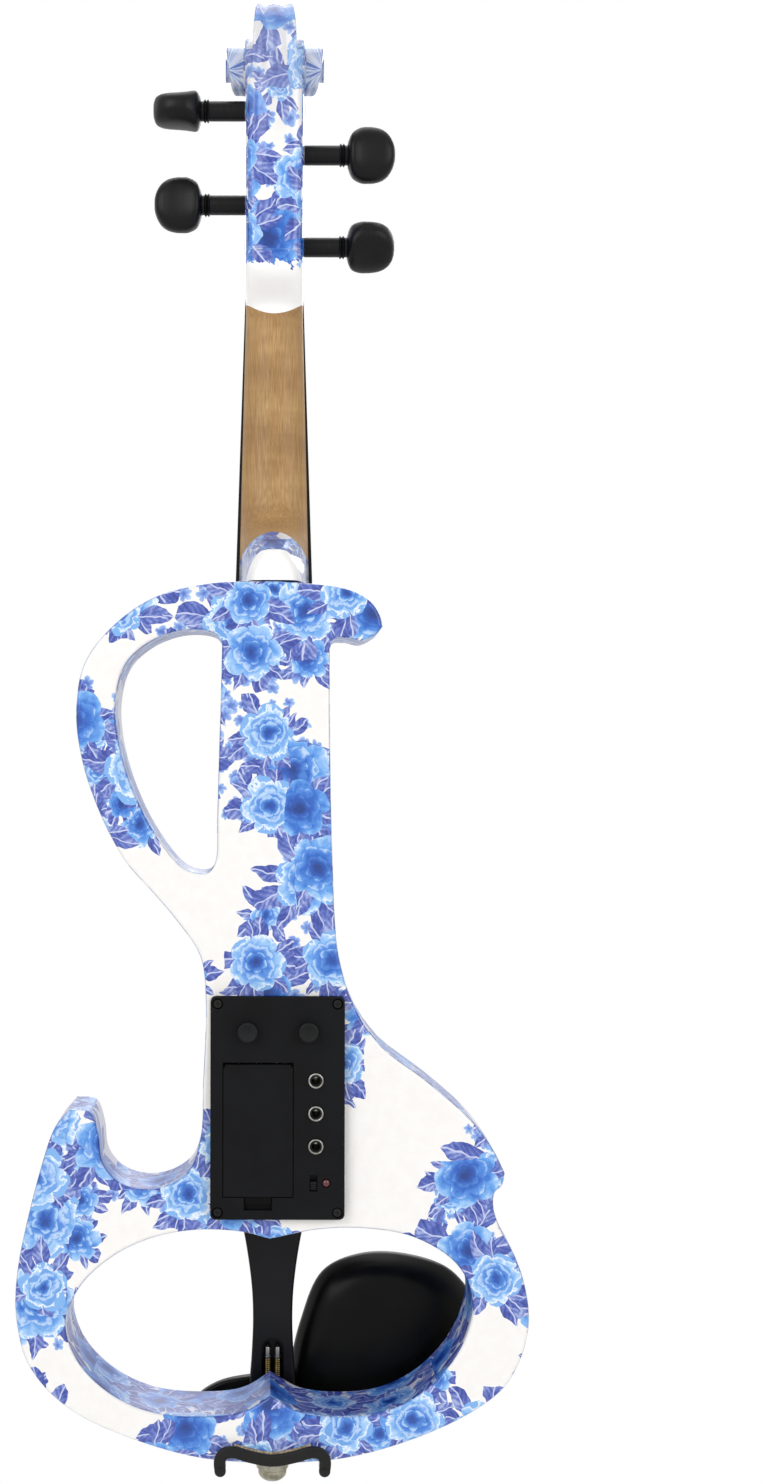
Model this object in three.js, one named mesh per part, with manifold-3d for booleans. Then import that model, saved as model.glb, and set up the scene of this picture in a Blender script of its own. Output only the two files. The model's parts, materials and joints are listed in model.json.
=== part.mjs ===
// Electric violin, in millimetres. X is to the right of someone who looks at the back, Y runs from the
// back to the strings, Z runs up the neck. Z is 0 at the body's bottom edge and Y is 0 at its back face
// until the last lines, which put the origin at the hanging point under the scroll.
import * as THREE from "three";
import Module from "manifold-3d";

const wasm = await Module();
wasm.setup();

// Shared clearances
const gap = 0.3; // between pieces that touch
const overrun = 2; // how far a cutter passes the face it leaves
const weld = 0.6; // how far joined lumps of one piece run into each other
const crumb = 0.25; // edge of the largest sliver that a joint of two lumps may leave

// Body
const bodyLength = 356;
const bodyWidth = 208;
const bodyThickness = 34;
const bodyRound = 1.6;

// Strings, nut and bridge
const stringLength = 328;
const neckStop = (stringLength * 65) / 164; // body's top edge to the nut
const nutSpread = 16.5;
const nutLength = 5.5; // along the strings
const bridgeSpread = 33.5;
const fretSpread = 29; // spread of the strings at the tailpiece
const nutZ = bodyLength + neckStop;
const bridgeZ = nutZ - stringLength;
const bridgeHeight = 30.5;
const nutAction = 0.6; // clear height of the strings over the board at the nut
const bridgeStringY = bodyThickness + bridgeHeight;
const stringArch = 42; // radius of the curve that the strings lie on at the nut and the bridge
const stringNames = ["g", "d", "a", "e"];
const stringSide = [1, 1, -1, -1]; // which side of the pegbox each peg comes out of
const stringPlaceShares = [0.5, 1 / 6, -1 / 6, -0.5]; // of the spread, bass side first
const stringDiameters = [0.8, 0.75, 0.68, 0.5];

// Neck and fingerboard
const boardLength = 270;
const boardNutWidth = 24;
const boardEndWidth = 42;
const boardThickness = 9;
const boardArch = 42;
const boardUnderY = 32.4; // underside of the board at the nut
const boardRise = 6.4; // how far its underside has risen at the body's top edge
const nutStringY = boardUnderY + boardThickness + nutAction + stringDiameters[0] / 2;
const neckNutHalf = 11.6;
const neckHeelHalf = 14.8;
const neckNutBackY = 22;
const neckHeelBackY = 27;
const heelHalf = 10.8;
const heelRise = 11;

// Pegbox and scroll
const pegboxWidth = 24.4;
const pegboxWall = 5.2;
const pegboxFloor = 6;
const pegboxFrontY = 36.4;
const pegboxBackY = 4;
const pegboxLength = 76;
const scrollY = 12;
const scrollUp = 81; // from the nut to the scroll's eye
const scrollZ = nutZ + scrollUp;
const fluteDepth = 1;
const pegZs = [10.8, 47.3, 63.5, 27.6]; // above the nut: g, d, a, e
const pegY = [20, 15, 9.5, 18];
const hollowPast = 6.6; // from the highest peg to the end of the hollow that the strings wind in
const scrollTop = 27; // from the eye to the top of the scroll
const scrollHalf = 20; // from the middle to the end of an ear
const scrollHub = 2.4;

// Small helpers
const up = new THREE.Vector3(0, 0, 1);
const turn = Math.PI * 2;

function lump(geometry) {
  const g = geometry.index ? geometry.toNonIndexed() : geometry;
  const source = g.getAttribute("position");
  const seen = new Map();
  const points = [];
  const triangles = [];
  for (let i = 0; i < source.count; i++) {
    const p = [source.getX(i), source.getY(i), source.getZ(i)];
    const key = p.map((v) => Math.round(v * 2048)).join();
    if (!seen.has(key)) {
      seen.set(key, points.length / 3);
      points.push(...p);
    }
    triangles.push(seen.get(key));
  }
  const kept = [];
  for (let i = 0; i < triangles.length; i += 3) {
    const [a, b, c] = triangles.slice(i, i + 3);
    if (a !== b && b !== c && c !== a) kept.push(a, b, c);
  }
  return new wasm.Manifold(
    new wasm.Mesh({
      numProp: 3,
      vertProperties: new Float32Array(points),
      triVerts: new Uint32Array(kept),
    }),
  );
}

function geometryOf(solid) {
  const m = solid.getMesh();
  const places = new Float32Array(m.numVert * 3);
  for (let i = 0; i < m.numVert; i++)
    places.set(m.vertProperties.subarray(i * m.numProp, i * m.numProp + 3), i * 3);
  const g = new THREE.BufferGeometry();
  g.setAttribute("position", new THREE.BufferAttribute(places, 3));
  g.setIndex(new THREE.BufferAttribute(m.triVerts, 1));
  g.computeVertexNormals();
  return g;
}

const violin = new THREE.Group();
violin.name = "electric_violin";

function material(color, roughness, metalness) {
  return new THREE.MeshStandardMaterial({ color, roughness, metalness });
}
const paint = material("#e8edf5", 0.15, 0);
const maple = material("#b08d5b", 0.55, 0);
const ebony = material("#1f1e1e", 0.4, 0);
const plastic = material("#1c1d20", 0.55, 0);
const metal = material("#b9bcc0", 0.3, 1);
const brass = material("#a8873c", 0.35, 1);
const cork = material("#b08a5c", 0.9, 0);
const greenBoard = material("#1f6b3a", 0.5, 0);
const cellWrap = material("#5a5e66", 0.4, 0);
const redLens = material("#b01525", 0.2, 0);

// A joint of two curved lumps can leave slivers with no size, which aren't part of the piece.
function withoutCrumbs(solid) {
  const kept = solid.decompose().filter((b) => Math.abs(b.volume()) > crumb ** 3);
  return kept.length === 1 ? kept[0] : wasm.Manifold.compose(kept);
}

function piece(name, solid, look) {
  const made = new THREE.Mesh(geometryOf(withoutCrumbs(solid)), look);
  made.name = name;
  violin.add(made);
  return made;
}

// A smooth closed or open run through hand-placed shares, in the plane of the body.
function run(shares, steps, wide, high) {
  const points = shares.map(([u, v]) => new THREE.Vector3(u * wide, v * high, 0));
  const curve = new THREE.CatmullRomCurve3(points, false, "centripetal");
  return curve.getPoints(steps).map((p) => new THREE.Vector2(p.x, p.y));
}

function loop(runs) {
  const points = [];
  for (const r of runs) points.push(...r.slice(0, -1));
  return points;
}

// A plate whose outline lies in XZ, from its back face at y0 towards the strings.
function plate(shape, thickness, y0, round = 0, rings = 2) {
  const g = new THREE.ExtrudeGeometry(shape, {
    depth: thickness - 2 * round,
    bevelEnabled: round > 0,
    bevelThickness: round,
    bevelSize: round,
    bevelOffset: -round,
    bevelSegments: rings,
    curveSegments: 4,
    steps: 1,
  });
  g.rotateX(Math.PI / 2);
  g.translate(0, y0 + thickness - round, 0);
  return lump(g);
}

// A block by its two corners.
function block(x0, x1, y0, y1, z0, z1) {
  const g = new THREE.BoxGeometry(x1 - x0, y1 - y0, z1 - z0);
  g.translate((x0 + x1) / 2, (y0 + y1) / 2, (z0 + z1) / 2);
  return lump(g);
}

// A block with rounded corners in XZ.
function roundedShape(x0, x1, z0, z1, r) {
  const s = new THREE.Shape();
  s.absarc(x1 - r, z1 - r, r, 0, turn / 4);
  s.absarc(x0 + r, z1 - r, r, turn / 4, turn / 2);
  s.absarc(x0 + r, z0 + r, r, turn / 2, (turn * 3) / 4);
  s.absarc(x1 - r, z0 + r, r, (turn * 3) / 4, turn);
  return s;
}

// A turned piece: profile is [radius, distance] pairs from one end on the axis to the other, along +Y.
function turned(profile, sides) {
  const points = profile.map(([r, d]) => new THREE.Vector2(r, d));
  return lump(new THREE.LatheGeometry(points, sides));
}

// A straight round bar from one distance to another.
const bar = (r, from, to, sides) => turned([[0, from], [r, from], [r, to], [0, to]], sides);

function along(solid, axis, x, y, z) {
  const turns = {
    "+y": [0, 0, 0],
    "-y": [180, 0, 0],
    "+x": [0, 0, -90],
    "-x": [0, 0, 90],
    "+z": [90, 0, 0],
    "-z": [-90, 0, 0],
  };
  return solid.rotate(turns[axis]).translate([x, y, z]);
}

// A round bar along a list of points, closed at both ends.
function tube(points, radius, sides) {
  const rings = [];
  let side = null;
  points.forEach((p, i) => {
    const before = points[Math.max(i - 1, 0)];
    const after = points[Math.min(i + 1, points.length - 1)];
    const ahead = after.clone().sub(before).normalize();
    if (!side) {
      side = Math.abs(ahead.x) < Math.SQRT1_2 ? new THREE.Vector3(1, 0, 0) : up.clone();
    }
    side = side.clone().addScaledVector(ahead, -side.dot(ahead)).normalize();
    const other = ahead.clone().cross(side);
    const ring = [];
    for (let s = 0; s < sides; s++) {
      const a = (turn * s) / sides;
      ring.push(
        p
          .clone()
          .addScaledVector(side, radius * Math.cos(a))
          .addScaledVector(other, radius * Math.sin(a)),
      );
    }
    rings.push(ring);
  });
  return loft(rings);
}

// A closed skin over rings of equal count, each ring counterclockwise seen from the last ring's side.
function loft(rings, convex = true) {
  const n = rings[0].length;
  const places = [];
  const faces = [];
  for (const ring of rings) for (const p of ring) places.push(p.x, p.y, p.z);
  for (let r = 0; r + 1 < rings.length; r++)
    for (let i = 0; i < n; i++) {
      const a = r * n + i;
      const b = r * n + ((i + 1) % n);
      faces.push(a, b, b + n, a, b + n, a + n);
    }
  const last = (rings.length - 1) * n;
  for (const [base, turned] of [
    [0, true],
    [last, false],
  ]) {
    const ring = rings[base / n];
    let caps = [];
    if (convex) for (let i = 1; i + 1 < n; i++) caps.push([0, i, i + 1]);
    else caps = flatCap(ring);
    for (const [i, j, k] of caps)
      faces.push(base + i, base + (turned ? k : j), base + (turned ? j : k));
  }
  const g = new THREE.BufferGeometry();
  g.setAttribute("position", new THREE.BufferAttribute(new Float32Array(places), 3));
  g.setIndex(faces);
  const made = lump(g);
  if (made.volume() >= 0) return made;
  for (let i = 0; i < faces.length; i += 3) [faces[i], faces[i + 1]] = [faces[i + 1], faces[i]];
  g.setIndex(faces);
  return lump(g);
}

// Triangles of a flat ring, which may be hollow-sided.
function flatCap(ring) {
  const middle = new THREE.Vector3();
  for (const p of ring) middle.add(p);
  middle.divideScalar(ring.length);
  const normal = new THREE.Vector3();
  ring.forEach((p, i) => {
    const q = ring[(i + 1) % ring.length];
    normal.add(p.clone().sub(middle).cross(q.clone().sub(middle)));
  });
  normal.normalize();
  const side = ring[1].clone().sub(ring[0]).normalize();
  const other = normal.clone().cross(side);
  const flat = ring.map((p) => {
    const d = p.clone().sub(middle);
    return new THREE.Vector2(d.dot(side), d.dot(other));
  });
  return THREE.ShapeUtils.triangulateShape(flat, []);
}

// Body outline in shares of half the width and of the length, from the neck round by the right.
const hornTopShares = [
  [0, 1.003], [0.143, 1], [0.24, 0.997], [0.314, 0.991], [0.376, 0.98], [0.411, 0.965], [0.423, 0.951],
];
const hornUnderShares = [
  [0.423, 0.951], [0.399, 0.943], [0.341, 0.935], [0.285, 0.938], [0.235, 0.937], [0.217, 0.926],
];
const spineRightShares = [
  [0.217, 0.926], [0.218, 0.868], [0.223, 0.754], [0.23, 0.686], [0.239, 0.618], [0.255, 0.576],
  [0.312, 0.522], [0.421, 0.475], [0.596, 0.436], [0.771, 0.391], [0.855, 0.358], [0.901, 0.331],
];
const wingTipShares = [
  [0.901, 0.331], [0.89, 0.317], [0.862, 0.309], [0.857, 0.293], [0.881, 0.27], [0.944, 0.235],
  [0.984, 0.198], [0.996, 0.16], [0.966, 0.122], [0.9, 0.088], [0.776, 0.06], [0.566, 0.031],
  [0.295, 0.008], [0, 0],
];
const boutLeftShares = [
  [0, 0], [-0.295, 0.008], [-0.566, 0.031], [-0.776, 0.06], [-0.9, 0.092], [-0.966, 0.124],
  [-1, 0.175], [-0.991, 0.222], [-0.961, 0.268], [-0.9, 0.338], [-0.848, 0.382], [-0.79, 0.403],
];
const hookShares = [
  [-0.79, 0.403], [-0.712, 0.4], [-0.679, 0.376], [-0.661, 0.342], [-0.593, 0.32], [-0.46, 0.313],
  [-0.33, 0.332], [-0.281, 0.372], [-0.272, 0.43], [-0.262, 0.528], [-0.284, 0.577], [-0.372, 0.616],
  [-0.465, 0.648], [-0.582, 0.687], [-0.684, 0.745], [-0.748, 0.803], [-0.768, 0.856],
  [-0.737, 0.908], [-0.628, 0.951], [-0.466, 0.984], [-0.256, 1], [0, 1.003],
];
const upperOpeningShares = [
  [-0.201, 0.932], [-0.206, 0.868], [-0.213, 0.8], [-0.219, 0.732], [-0.226, 0.684], [-0.257, 0.672],
  [-0.342, 0.676], [-0.444, 0.709], [-0.54, 0.761], [-0.6, 0.817], [-0.614, 0.866], [-0.575, 0.908],
  [-0.477, 0.934], [-0.342, 0.947], [-0.23, 0.943], [-0.201, 0.932],
];
const lowerOpeningTopShares = [
  [-0.011, 0.256], [-0.12, 0.264], [-0.3, 0.266], [-0.468, 0.257], [-0.621, 0.236], [-0.745, 0.203],
  [-0.803, 0.163], [-0.761, 0.12], [-0.64, 0.083], [-0.48, 0.061], [-0.291, 0.055], [-0.12, 0.06],
  [-0.009, 0.079],
];
const lowerOpeningEndShares = [
  [-0.009, 0.079], [0.11, 0.06], [0.29, 0.055], [0.445, 0.062], [0.6, 0.087], [0.731, 0.134],
  [0.777, 0.188], [0.714, 0.228], [0.55, 0.258], [0.365, 0.268], [0.18, 0.267], [-0.011, 0.256],
];

const halfBody = bodyWidth / 2;
const inBody = (shares, steps) => run(shares, steps, halfBody, bodyLength);
const bodyShape = new THREE.Shape(
  loop([
    inBody(hornTopShares, 8),
    inBody(hornUnderShares, 7),
    inBody(spineRightShares, 16),
    inBody(wingTipShares, 24),
    inBody(boutLeftShares, 20),
    inBody(hookShares, 40),
  ]).reverse(),
);
bodyShape.holes.push(
  new THREE.Path(loop([inBody(upperOpeningShares, 28)])),
  new THREE.Path(
    loop([inBody(lowerOpeningTopShares, 22), inBody(lowerOpeningEndShares, 22)]),
  ),
);
let body = plate(bodyShape, bodyThickness, 0, bodyRound);

// Heights along the neck, at a place z
const topEdge = bodyLength * hornTopShares[0][1];
const neckStart = topEdge + gap;
const boardSlope = boardRise / (nutZ - topEdge);
const boardUnder = (z) => boardUnderY + boardSlope * (nutZ - z);

// One ring across the neck: a U with a flat top. Square is 1 for a round back and less for a boxy one.
const ringAngleShares = [0, 0.13, 0.29, 0.44, 0.58, 0.71, 0.84, 0.93, 1];
const fluteShares = [0, 0, 0, 0, 0, 0, 0.5, 1, 0];
function neckRing(z, half, back, front, square, taper, flute) {
  const side = ringAngleShares.map((share, i) => {
    const a = (share * turn) / 4;
    const deep = Math.pow(Math.sin(a), square);
    const wide = Math.pow(Math.abs(Math.cos(a)), square) * (1 - taper * deep);
    return [half * (i === ringAngleShares.length - 1 ? 0 : wide), deep, flute * fluteShares[i]];
  });
  const ring = side.map(([x, deep, dip]) => new THREE.Vector3(x, front - (front - back) * deep + dip, z));
  for (const [x, deep, dip] of side.slice(0, -1).reverse())
    ring.push(new THREE.Vector3(-x, front - (front - back) * deep + dip, z));
  return ring;
}

// Heel stations: shares of the heel's run from the body, of its climb to the neck's back, the section's
// squareness and its taper towards the back.
const heelRun = 42;
const heelStationShares = [
  [0, 0, 0.32, 0.27], [0.1, 0, 0.36, 0.31], [0.17, 0, 0.44, 0.37], [0.22, 0.004, 0.56, 0.42],
  [0.26, 0.03, 0.7, 0.42], [0.31, 0.12, 0.78, 0.36], [0.37, 0.3, 0.84, 0.27], [0.45, 0.53, 0.9, 0.17],
  [0.56, 0.75, 0.95, 0.1], [0.75, 0.93, 1, 0.04], [1, 1, 1, 0],
];
const chinRun = 17;
const chinStationShares = [
  [0, 0, 1], [0.25, 0.07, 0.85], [0.42, 0.26, 0.66], [0.57, 0.52, 0.52], [0.72, 0.76, 0.42],
  [0.88, 0.93, 0.34], [1.08, 1, 0.3],
];
const pegboxStationShares = [
  [0, 0, 0, 0], [0.27, 0.36, 0.26, 0], [0.45, 0.55, 0.5, 0.25], [0.6, 0.7, 0.62, 1],
  [0.82, 0.88, 0.85, 1], [0.94, 0.97, 0.95, 1], [1, 1, 1, 1],
  [1.1, 1.2, 1.75, 1], // its back stands on as a step behind the narrower scroll
];
const pegboxLean = 8; // how far its back has gone back at the scroll
const pegboxFrontFalls = 20; // how far its front edge has fallen at the scroll
const pegboxHalf = pegboxWidth / 2;
const neckHalfAt = (z) =>
  neckNutHalf + ((neckHeelHalf - neckNutHalf) * (nutZ - z)) / (nutZ - neckStart);
const pegboxBack = (share) => pegboxBackY - pegboxLean * share;

const rings = [];
for (const [runShare, climbShare, square, taper] of heelStationShares) {
  const z = neckStart + heelRun * runShare;
  rings.push(
    neckRing(z, neckHalfAt(z), gap + (neckHeelBackY - gap) * climbShare, boardUnder(z), square, taper, 0),
  );
}
for (const [runShare, fallShare, square] of chinStationShares) {
  const z = nutZ + chinRun * (runShare - 1);
  const half = neckHalfAt(z) + (pegboxHalf - neckNutHalf) * fallShare;
  rings.push(
    neckRing(z, half, neckNutBackY + (pegboxBackY - neckNutBackY) * fallShare, boardUnder(z), square, 0, 0),
  );
}
let neck = loft(rings, false);

const boxRings = [];
for (const [runShare, leanShare, fallShare, fluteShare] of pegboxStationShares) {
  const z = nutZ + pegboxLength * runShare;
  boxRings.push(
    neckRing(
      z, pegboxHalf, pegboxBack(leanShare), pegboxFrontY - pegboxFrontFalls * fallShare,
      chinStationShares[6][2], 0, fluteDepth * fluteShare,
    ),
  );
}
neck = neck.add(loft(boxRings, false));

// The scroll: a band that winds in as it widens, in eighths of a turn from the back of the pegbox.
const scrollRadiusShares = [
  0.66, 0.63, 0.85, 1, 0.94, 0.78, 0.6, 0.52, 0.49, 0.48, 0.468, 0.45, 0.42, 0.4, 0.385, 0.37, 0.36,
  0.35, 0.342, 0.335, 0.33,
];
const scrollWidthShares = [
  0.5, 0.46, 0.42, 0.37, 0.355, 0.37, 0.42, 0.47, 0.53, 0.6, 0.61, 0.61, 0.65, 0.71, 0.78, 0.85, 0.91,
  0.96, 0.99, 1, 1,
];
const eighth = turn / 8;
const scrollFineness = 1.5;
function between(shares, place) {
  const i = Math.min(Math.floor(place), shares.length - 2);
  return shares[i] + (shares[i + 1] - shares[i]) * (place - i);
}
function scrollRing(place) {
  const a = (place - 1) * eighth;
  const r = scrollTop * between(scrollRadiusShares, place);
  const w = scrollHalf * between(scrollWidthShares, place);
  const dip = Math.min(fluteDepth, r - scrollHub) * Math.max(0, 1 - place / 9);
  const round = fluteDepth;
  const outline = [
    [scrollHub, -w], [r - round, -w], [r, -w + round], [r - dip, -w / 2], [r, 0], [r - dip, w / 2],
    [r, w - round], [r - round, w], [scrollHub, w],
  ];
  return outline.map(
    ([d, x]) => new THREE.Vector3(x, scrollY - d * Math.cos(a), scrollZ + d * Math.sin(a)),
  );
}
const scrollParts = [];
const scrollSteps = (scrollRadiusShares.length - 1) * scrollFineness;
const scrollTurn = 6 * scrollFineness; // steps in each lump, under a whole turn
for (let start = 0; start < scrollSteps; start += scrollTurn) {
  const turnRings = [];
  for (let i = start; i <= Math.min(start + scrollTurn, scrollSteps); i++)
    turnRings.push(scrollRing(i / scrollFineness));
  scrollParts.push(loft(turnRings, false));
}
let scroll = along(
  bar(scrollHub * 2, -scrollHalf, scrollHalf, 16),
  "+x", 0, scrollY, scrollZ,
);
for (const part of scrollParts) scroll = scroll.add(part);
neck = neck.add(scroll);

// The hollow that the strings wind in, cut down from the front.
const pegboxHollowStart = nutLength + gap - weld;
const pegboxHollowEnd = Math.max(...pegZs) + hollowPast;
const hollowHalf = pegboxHalf - pegboxWall;
const hollowShape = new THREE.Shape([
  new THREE.Vector2(pegboxHollowStart, pegboxFrontY + overrun),
  new THREE.Vector2(pegboxHollowStart, pegboxBackY + pegboxFloor),
  new THREE.Vector2(pegboxHollowEnd, pegboxBack(1) + pegboxFloor),
  new THREE.Vector2(pegboxHollowEnd, scrollY),
  new THREE.Vector2(pegboxHollowEnd - pegboxFloor, pegboxFrontY + overrun),
]);
const hollowBlank = new THREE.ExtrudeGeometry(hollowShape, { depth: 2 * hollowHalf, bevelEnabled: false });
hollowBlank.translate(0, 0, -hollowHalf);
hollowBlank.rotateY(-turn / 4);
neck = neck.subtract(lump(hollowBlank).translate([0, 0, nutZ]));

// Tuning pegs, each in its own tapered hole through both walls of the pegbox
const pegBigR = 4;
const pegSmallR = 3.5;
const pegPast = 0.1; // how far its small end passes the far wall
const pegRun = 14; // bare shaft between the wall and the collar
const pegClearance = 0.3;
const pegSides = 12;
const collarR = 4.7;
const collarLength = 3.6;
const headLong = 19.6; // along the shaft
const headWide = 22.6;
const headThick = 15;
const headTurns = [50, 5, 90, 0]; // degrees that each head is turned from face-on: g, d, a, e
const pegHalf = pegboxHalf;

function pegShaft(grow) {
  const reach = pegHalf + pegPast;
  const out = pegHalf + pegRun;
  const slope = (pegBigR - pegSmallR) / (pegHalf + reach);
  const at = (x) => pegSmallR + grow + slope * (x + reach);
  return turned(
    [[0, -reach], [at(-reach), -reach], [at(pegHalf), pegHalf], [pegBigR + grow, out], [0, out]],
    pegSides,
  );
}

function pegHead(turnedBy) {
  // Rings across the shaft: half thickness and half width as shares, by share of the head's length.
  const stationShares = [
    [0, 0.5, 0.36], [0.05, 0.86, 0.62], [0.13, 1, 0.83], [0.3, 0.9, 0.985], [0.5, 0.84, 1],
    [0.7, 0.82, 0.93], [0.85, 0.78, 0.76], [0.95, 0.66, 0.5], [1, 0.36, 0.24],
  ];
  const sides = 10;
  const rings = stationShares.map(([run, thick, wide]) => {
    const ring = [];
    for (let i = 0; i < sides; i++) {
      const a = (turn * i) / sides;
      const c = Math.cos(a);
      const s = Math.sin(a);
      const square = 0.8;
      const y = (headThick / 2) * thick * Math.sign(c) * Math.pow(Math.abs(c), square);
      const z = (headWide / 2) * wide * Math.sign(s) * Math.pow(Math.abs(s), square);
      ring.push(new THREE.Vector3(y, headLong * run, z));
    }
    return ring;
  });
  return loft(rings).rotate([0, turnedBy, 0]);
}

const pegs = stringNames.map((name, i) => {
  const out = pegHalf + pegRun;
  const bead = collarLength / 4;
  const profile = [[0, out - weld], [pegBigR, out - weld]];
  for (let b = 0; b < 2; b++) {
    const start = out + collarLength * (0.1 + b * 0.34);
    profile.push(
      [pegBigR, start], [collarR, start + bead / 3], [collarR, start + bead], [pegBigR, start + bead * 1.3],
    );
  }
  profile.push([pegBigR, out + collarLength + weld * 2], [0, out + collarLength + weld * 2]);
  const head = pegHead(headTurns[i]).translate([0, out + collarLength, 0]);
  const whole = pegShaft(0).add(turned(profile, pegSides)).add(head);
  return along(whole, stringSide[i] > 0 ? "+x" : "-x", 0, pegY[i], nutZ + pegZs[i]);
});
neck = neck.subtract(
  block(
    -pegboxHalf - overrun, pegboxHalf + overrun, boardUnderY, pegboxFrontY + overrun,
    nutZ - overrun, nutZ + nutLength + gap,
  ),
);
stringNames.forEach((name, i) => {
  const bore = along(pegShaft(pegClearance), stringSide[i] > 0 ? "+x" : "-x", 0, pegY[i], nutZ + pegZs[i]);
  neck = neck.subtract(bore);
});
piece("neck", neck, maple);
stringNames.forEach((name, i) => piece("peg_" + name, pegs[i], ebony));

// Fingerboard: a tapered strip, curved across on top
const boardFarZ = nutZ - boardLength;
const boardTopAt = (z) => boardUnder(z) + boardThickness;
function boardRing(z) {
  const share = (nutZ - z) / boardLength;
  const half = (boardNutWidth + (boardEndWidth - boardNutWidth) * share) / 2;
  const under = boardUnder(z) + gap;
  const steps = 8;
  const ring = [new THREE.Vector3(half, under, z)];
  for (let i = 0; i <= steps; i++) {
    const x = half - (2 * half * i) / steps;
    const drop = boardArch - Math.sqrt(boardArch * boardArch - x * x);
    ring.push(new THREE.Vector3(x, boardTopAt(z) - drop, z));
  }
  ring.push(new THREE.Vector3(-half, under, z));
  return ring;
}
let board = loft([boardRing(boardFarZ), boardRing(nutZ - gap)]);
const boardHollow = 3; // scooped out under its free end
const hollowEnds = [boardFarZ - overrun, topEdge - boardHollow * 2];
const scoop = hollowEnds.map((z) => {
  const half = boardNutWidth / 2;
  const y = boardUnder(z) + gap;
  return [
    new THREE.Vector3(-half, y - overrun, z), new THREE.Vector3(half, y - overrun, z),
    new THREE.Vector3(half * 0.6, y + boardHollow, z), new THREE.Vector3(-half * 0.6, y + boardHollow, z),
  ];
});
board = board.subtract(loft(scoop));
piece("fingerboard", board, ebony);

// Where each string runs
const across = (spread, i) => spread * stringPlaceShares[i];
const archDrop = (x) => stringArch - Math.sqrt(stringArch * stringArch - x * x);
const stringAtNut = (i) => {
  const x = across(nutSpread, i);
  return new THREE.Vector3(x, nutStringY - archDrop(x), nutZ);
};
const stringAtBridge = (i) => {
  const x = across(bridgeSpread, i);
  return new THREE.Vector3(x, bridgeStringY - archDrop(x), bridgeZ);
};

// Nut: a block over the end of the fingerboard with a groove for each string
const grooveDepth = 0.5;
const nutSteps = 12;
const nutShape = new THREE.Shape();
const nutHalf = boardNutWidth / 2;
const nutTop = (x) => nutStringY + grooveDepth - archDrop(x) - stringDiameters[0] / 2 - gap;
nutShape.moveTo(-nutHalf, boardUnderY + gap);
nutShape.lineTo(nutHalf, boardUnderY + gap);
for (let i = 0; i <= nutSteps; i++) {
  const x = nutHalf - (2 * nutHalf * i) / nutSteps;
  nutShape.lineTo(x, nutTop(x));
}
let nut = lump(new THREE.ExtrudeGeometry(nutShape, { depth: nutLength, bevelEnabled: false })).translate([
  0, 0, nutZ,
]);
const grooveR = stringDiameters[0] / 2 + gap;
stringNames.forEach((name, i) => {
  const at = stringAtNut(i);
  const groove = along(bar(grooveR, -overrun, nutLength + overrun, 12), "+z", at.x, at.y, nutZ);
  nut = nut.subtract(groove);
});
piece("nut", nut, ebony);

// Tailpiece and its height over the body, which the strings also need
const tailClear = 8; // body to the underside of the tailpiece
const tailUnderY = bodyThickness + tailClear;
const tailThickness = 7.5;
const tailFootZ = 8;
const afterLength = 38; // bridge to the head of the tailpiece
const tailHeadZ = bridgeZ - afterLength;
const tailLength = tailHeadZ - tailFootZ;
const tailTopY = tailUnderY + tailThickness;
const fretBack = 7; // from the tailpiece's head to the hooks that hold the strings
const fretZ = tailHeadZ - fretBack;
const hookRise = 2.2; // how far the hooks stand over the tailpiece, to the string
const hookThick = 2.4;
const hookTopY = tailTopY + hookRise;

// Windings: the outer turns of each string on its peg
const windingTurns = 3;
const windingSteps = 10;
const windingSides = 5;
const windingPlaceShare = 0.5; // of the string's place at the nut
const windingPitch = 1.3;
const windingSlack = 0.1;
const pegRadiusAt = (i) => {
  const reach = pegHalf + pegPast;
  const x = stringSide[i] * across(nutSpread, i) * windingPlaceShare;
  return pegSmallR + ((pegBigR - pegSmallR) * (x + reach)) / (pegHalf + reach);
};
const windingR = (i) =>
  (pegRadiusAt(i) + gap + windingSlack + stringDiameters[i] / 2) / Math.cos(turn / windingSteps / 2);
stringNames.forEach((name, i) => {
  const middle = across(nutSpread, i) * windingPlaceShare;
  const points = [];
  const count = windingTurns * windingSteps;
  for (let k = 0; k <= count; k++) {
    const a = (turn * k) / windingSteps;
    points.push(
      new THREE.Vector3(
        middle + windingPitch * (k / windingSteps - windingTurns / 2),
        pegY[i] + windingR(i) * Math.cos(a),
        nutZ + pegZs[i] + windingR(i) * Math.sin(a),
      ),
    );
  }
  let least = Infinity;
  for (let k = 0; k <= count; k++)
    for (let m = k + windingSteps / 2; m <= count; m++)
      least = Math.min(least, points[k].distanceTo(points[m]));
  console.log(`winding_${name}: least gap to itself ${(least - stringDiameters[i]).toFixed(2)} mm`);
  piece("winding_" + name, tube(points, stringDiameters[i] / 2, windingSides), metal);
});

// Strings, from the top of each winding over the nut and the bridge to the hook of its fine tuner
const stringSides = 6;
stringNames.forEach((name, i) => {
  const r = stringDiameters[i] / 2;
  const nutAt = stringAtNut(i);
  const bridgeAt = stringAtBridge(i);
  const nutBack = nutAt.clone().add(new THREE.Vector3(0, 0, nutLength + 2 * gap + r));
  const pegEnd = new THREE.Vector3(
    across(nutSpread, i) * windingPlaceShare,
    pegY[i] + windingR(i) + 2 * r + gap,
    nutZ + pegZs[i],
  );
  const tailEnd = new THREE.Vector3(across(fretSpread, i), hookTopY, fretZ + hookThick / 2 + gap);
  piece("string_" + name, tube([pegEnd, nutBack, nutAt, bridgeAt, tailEnd], r, stringSides), metal);
});

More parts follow.
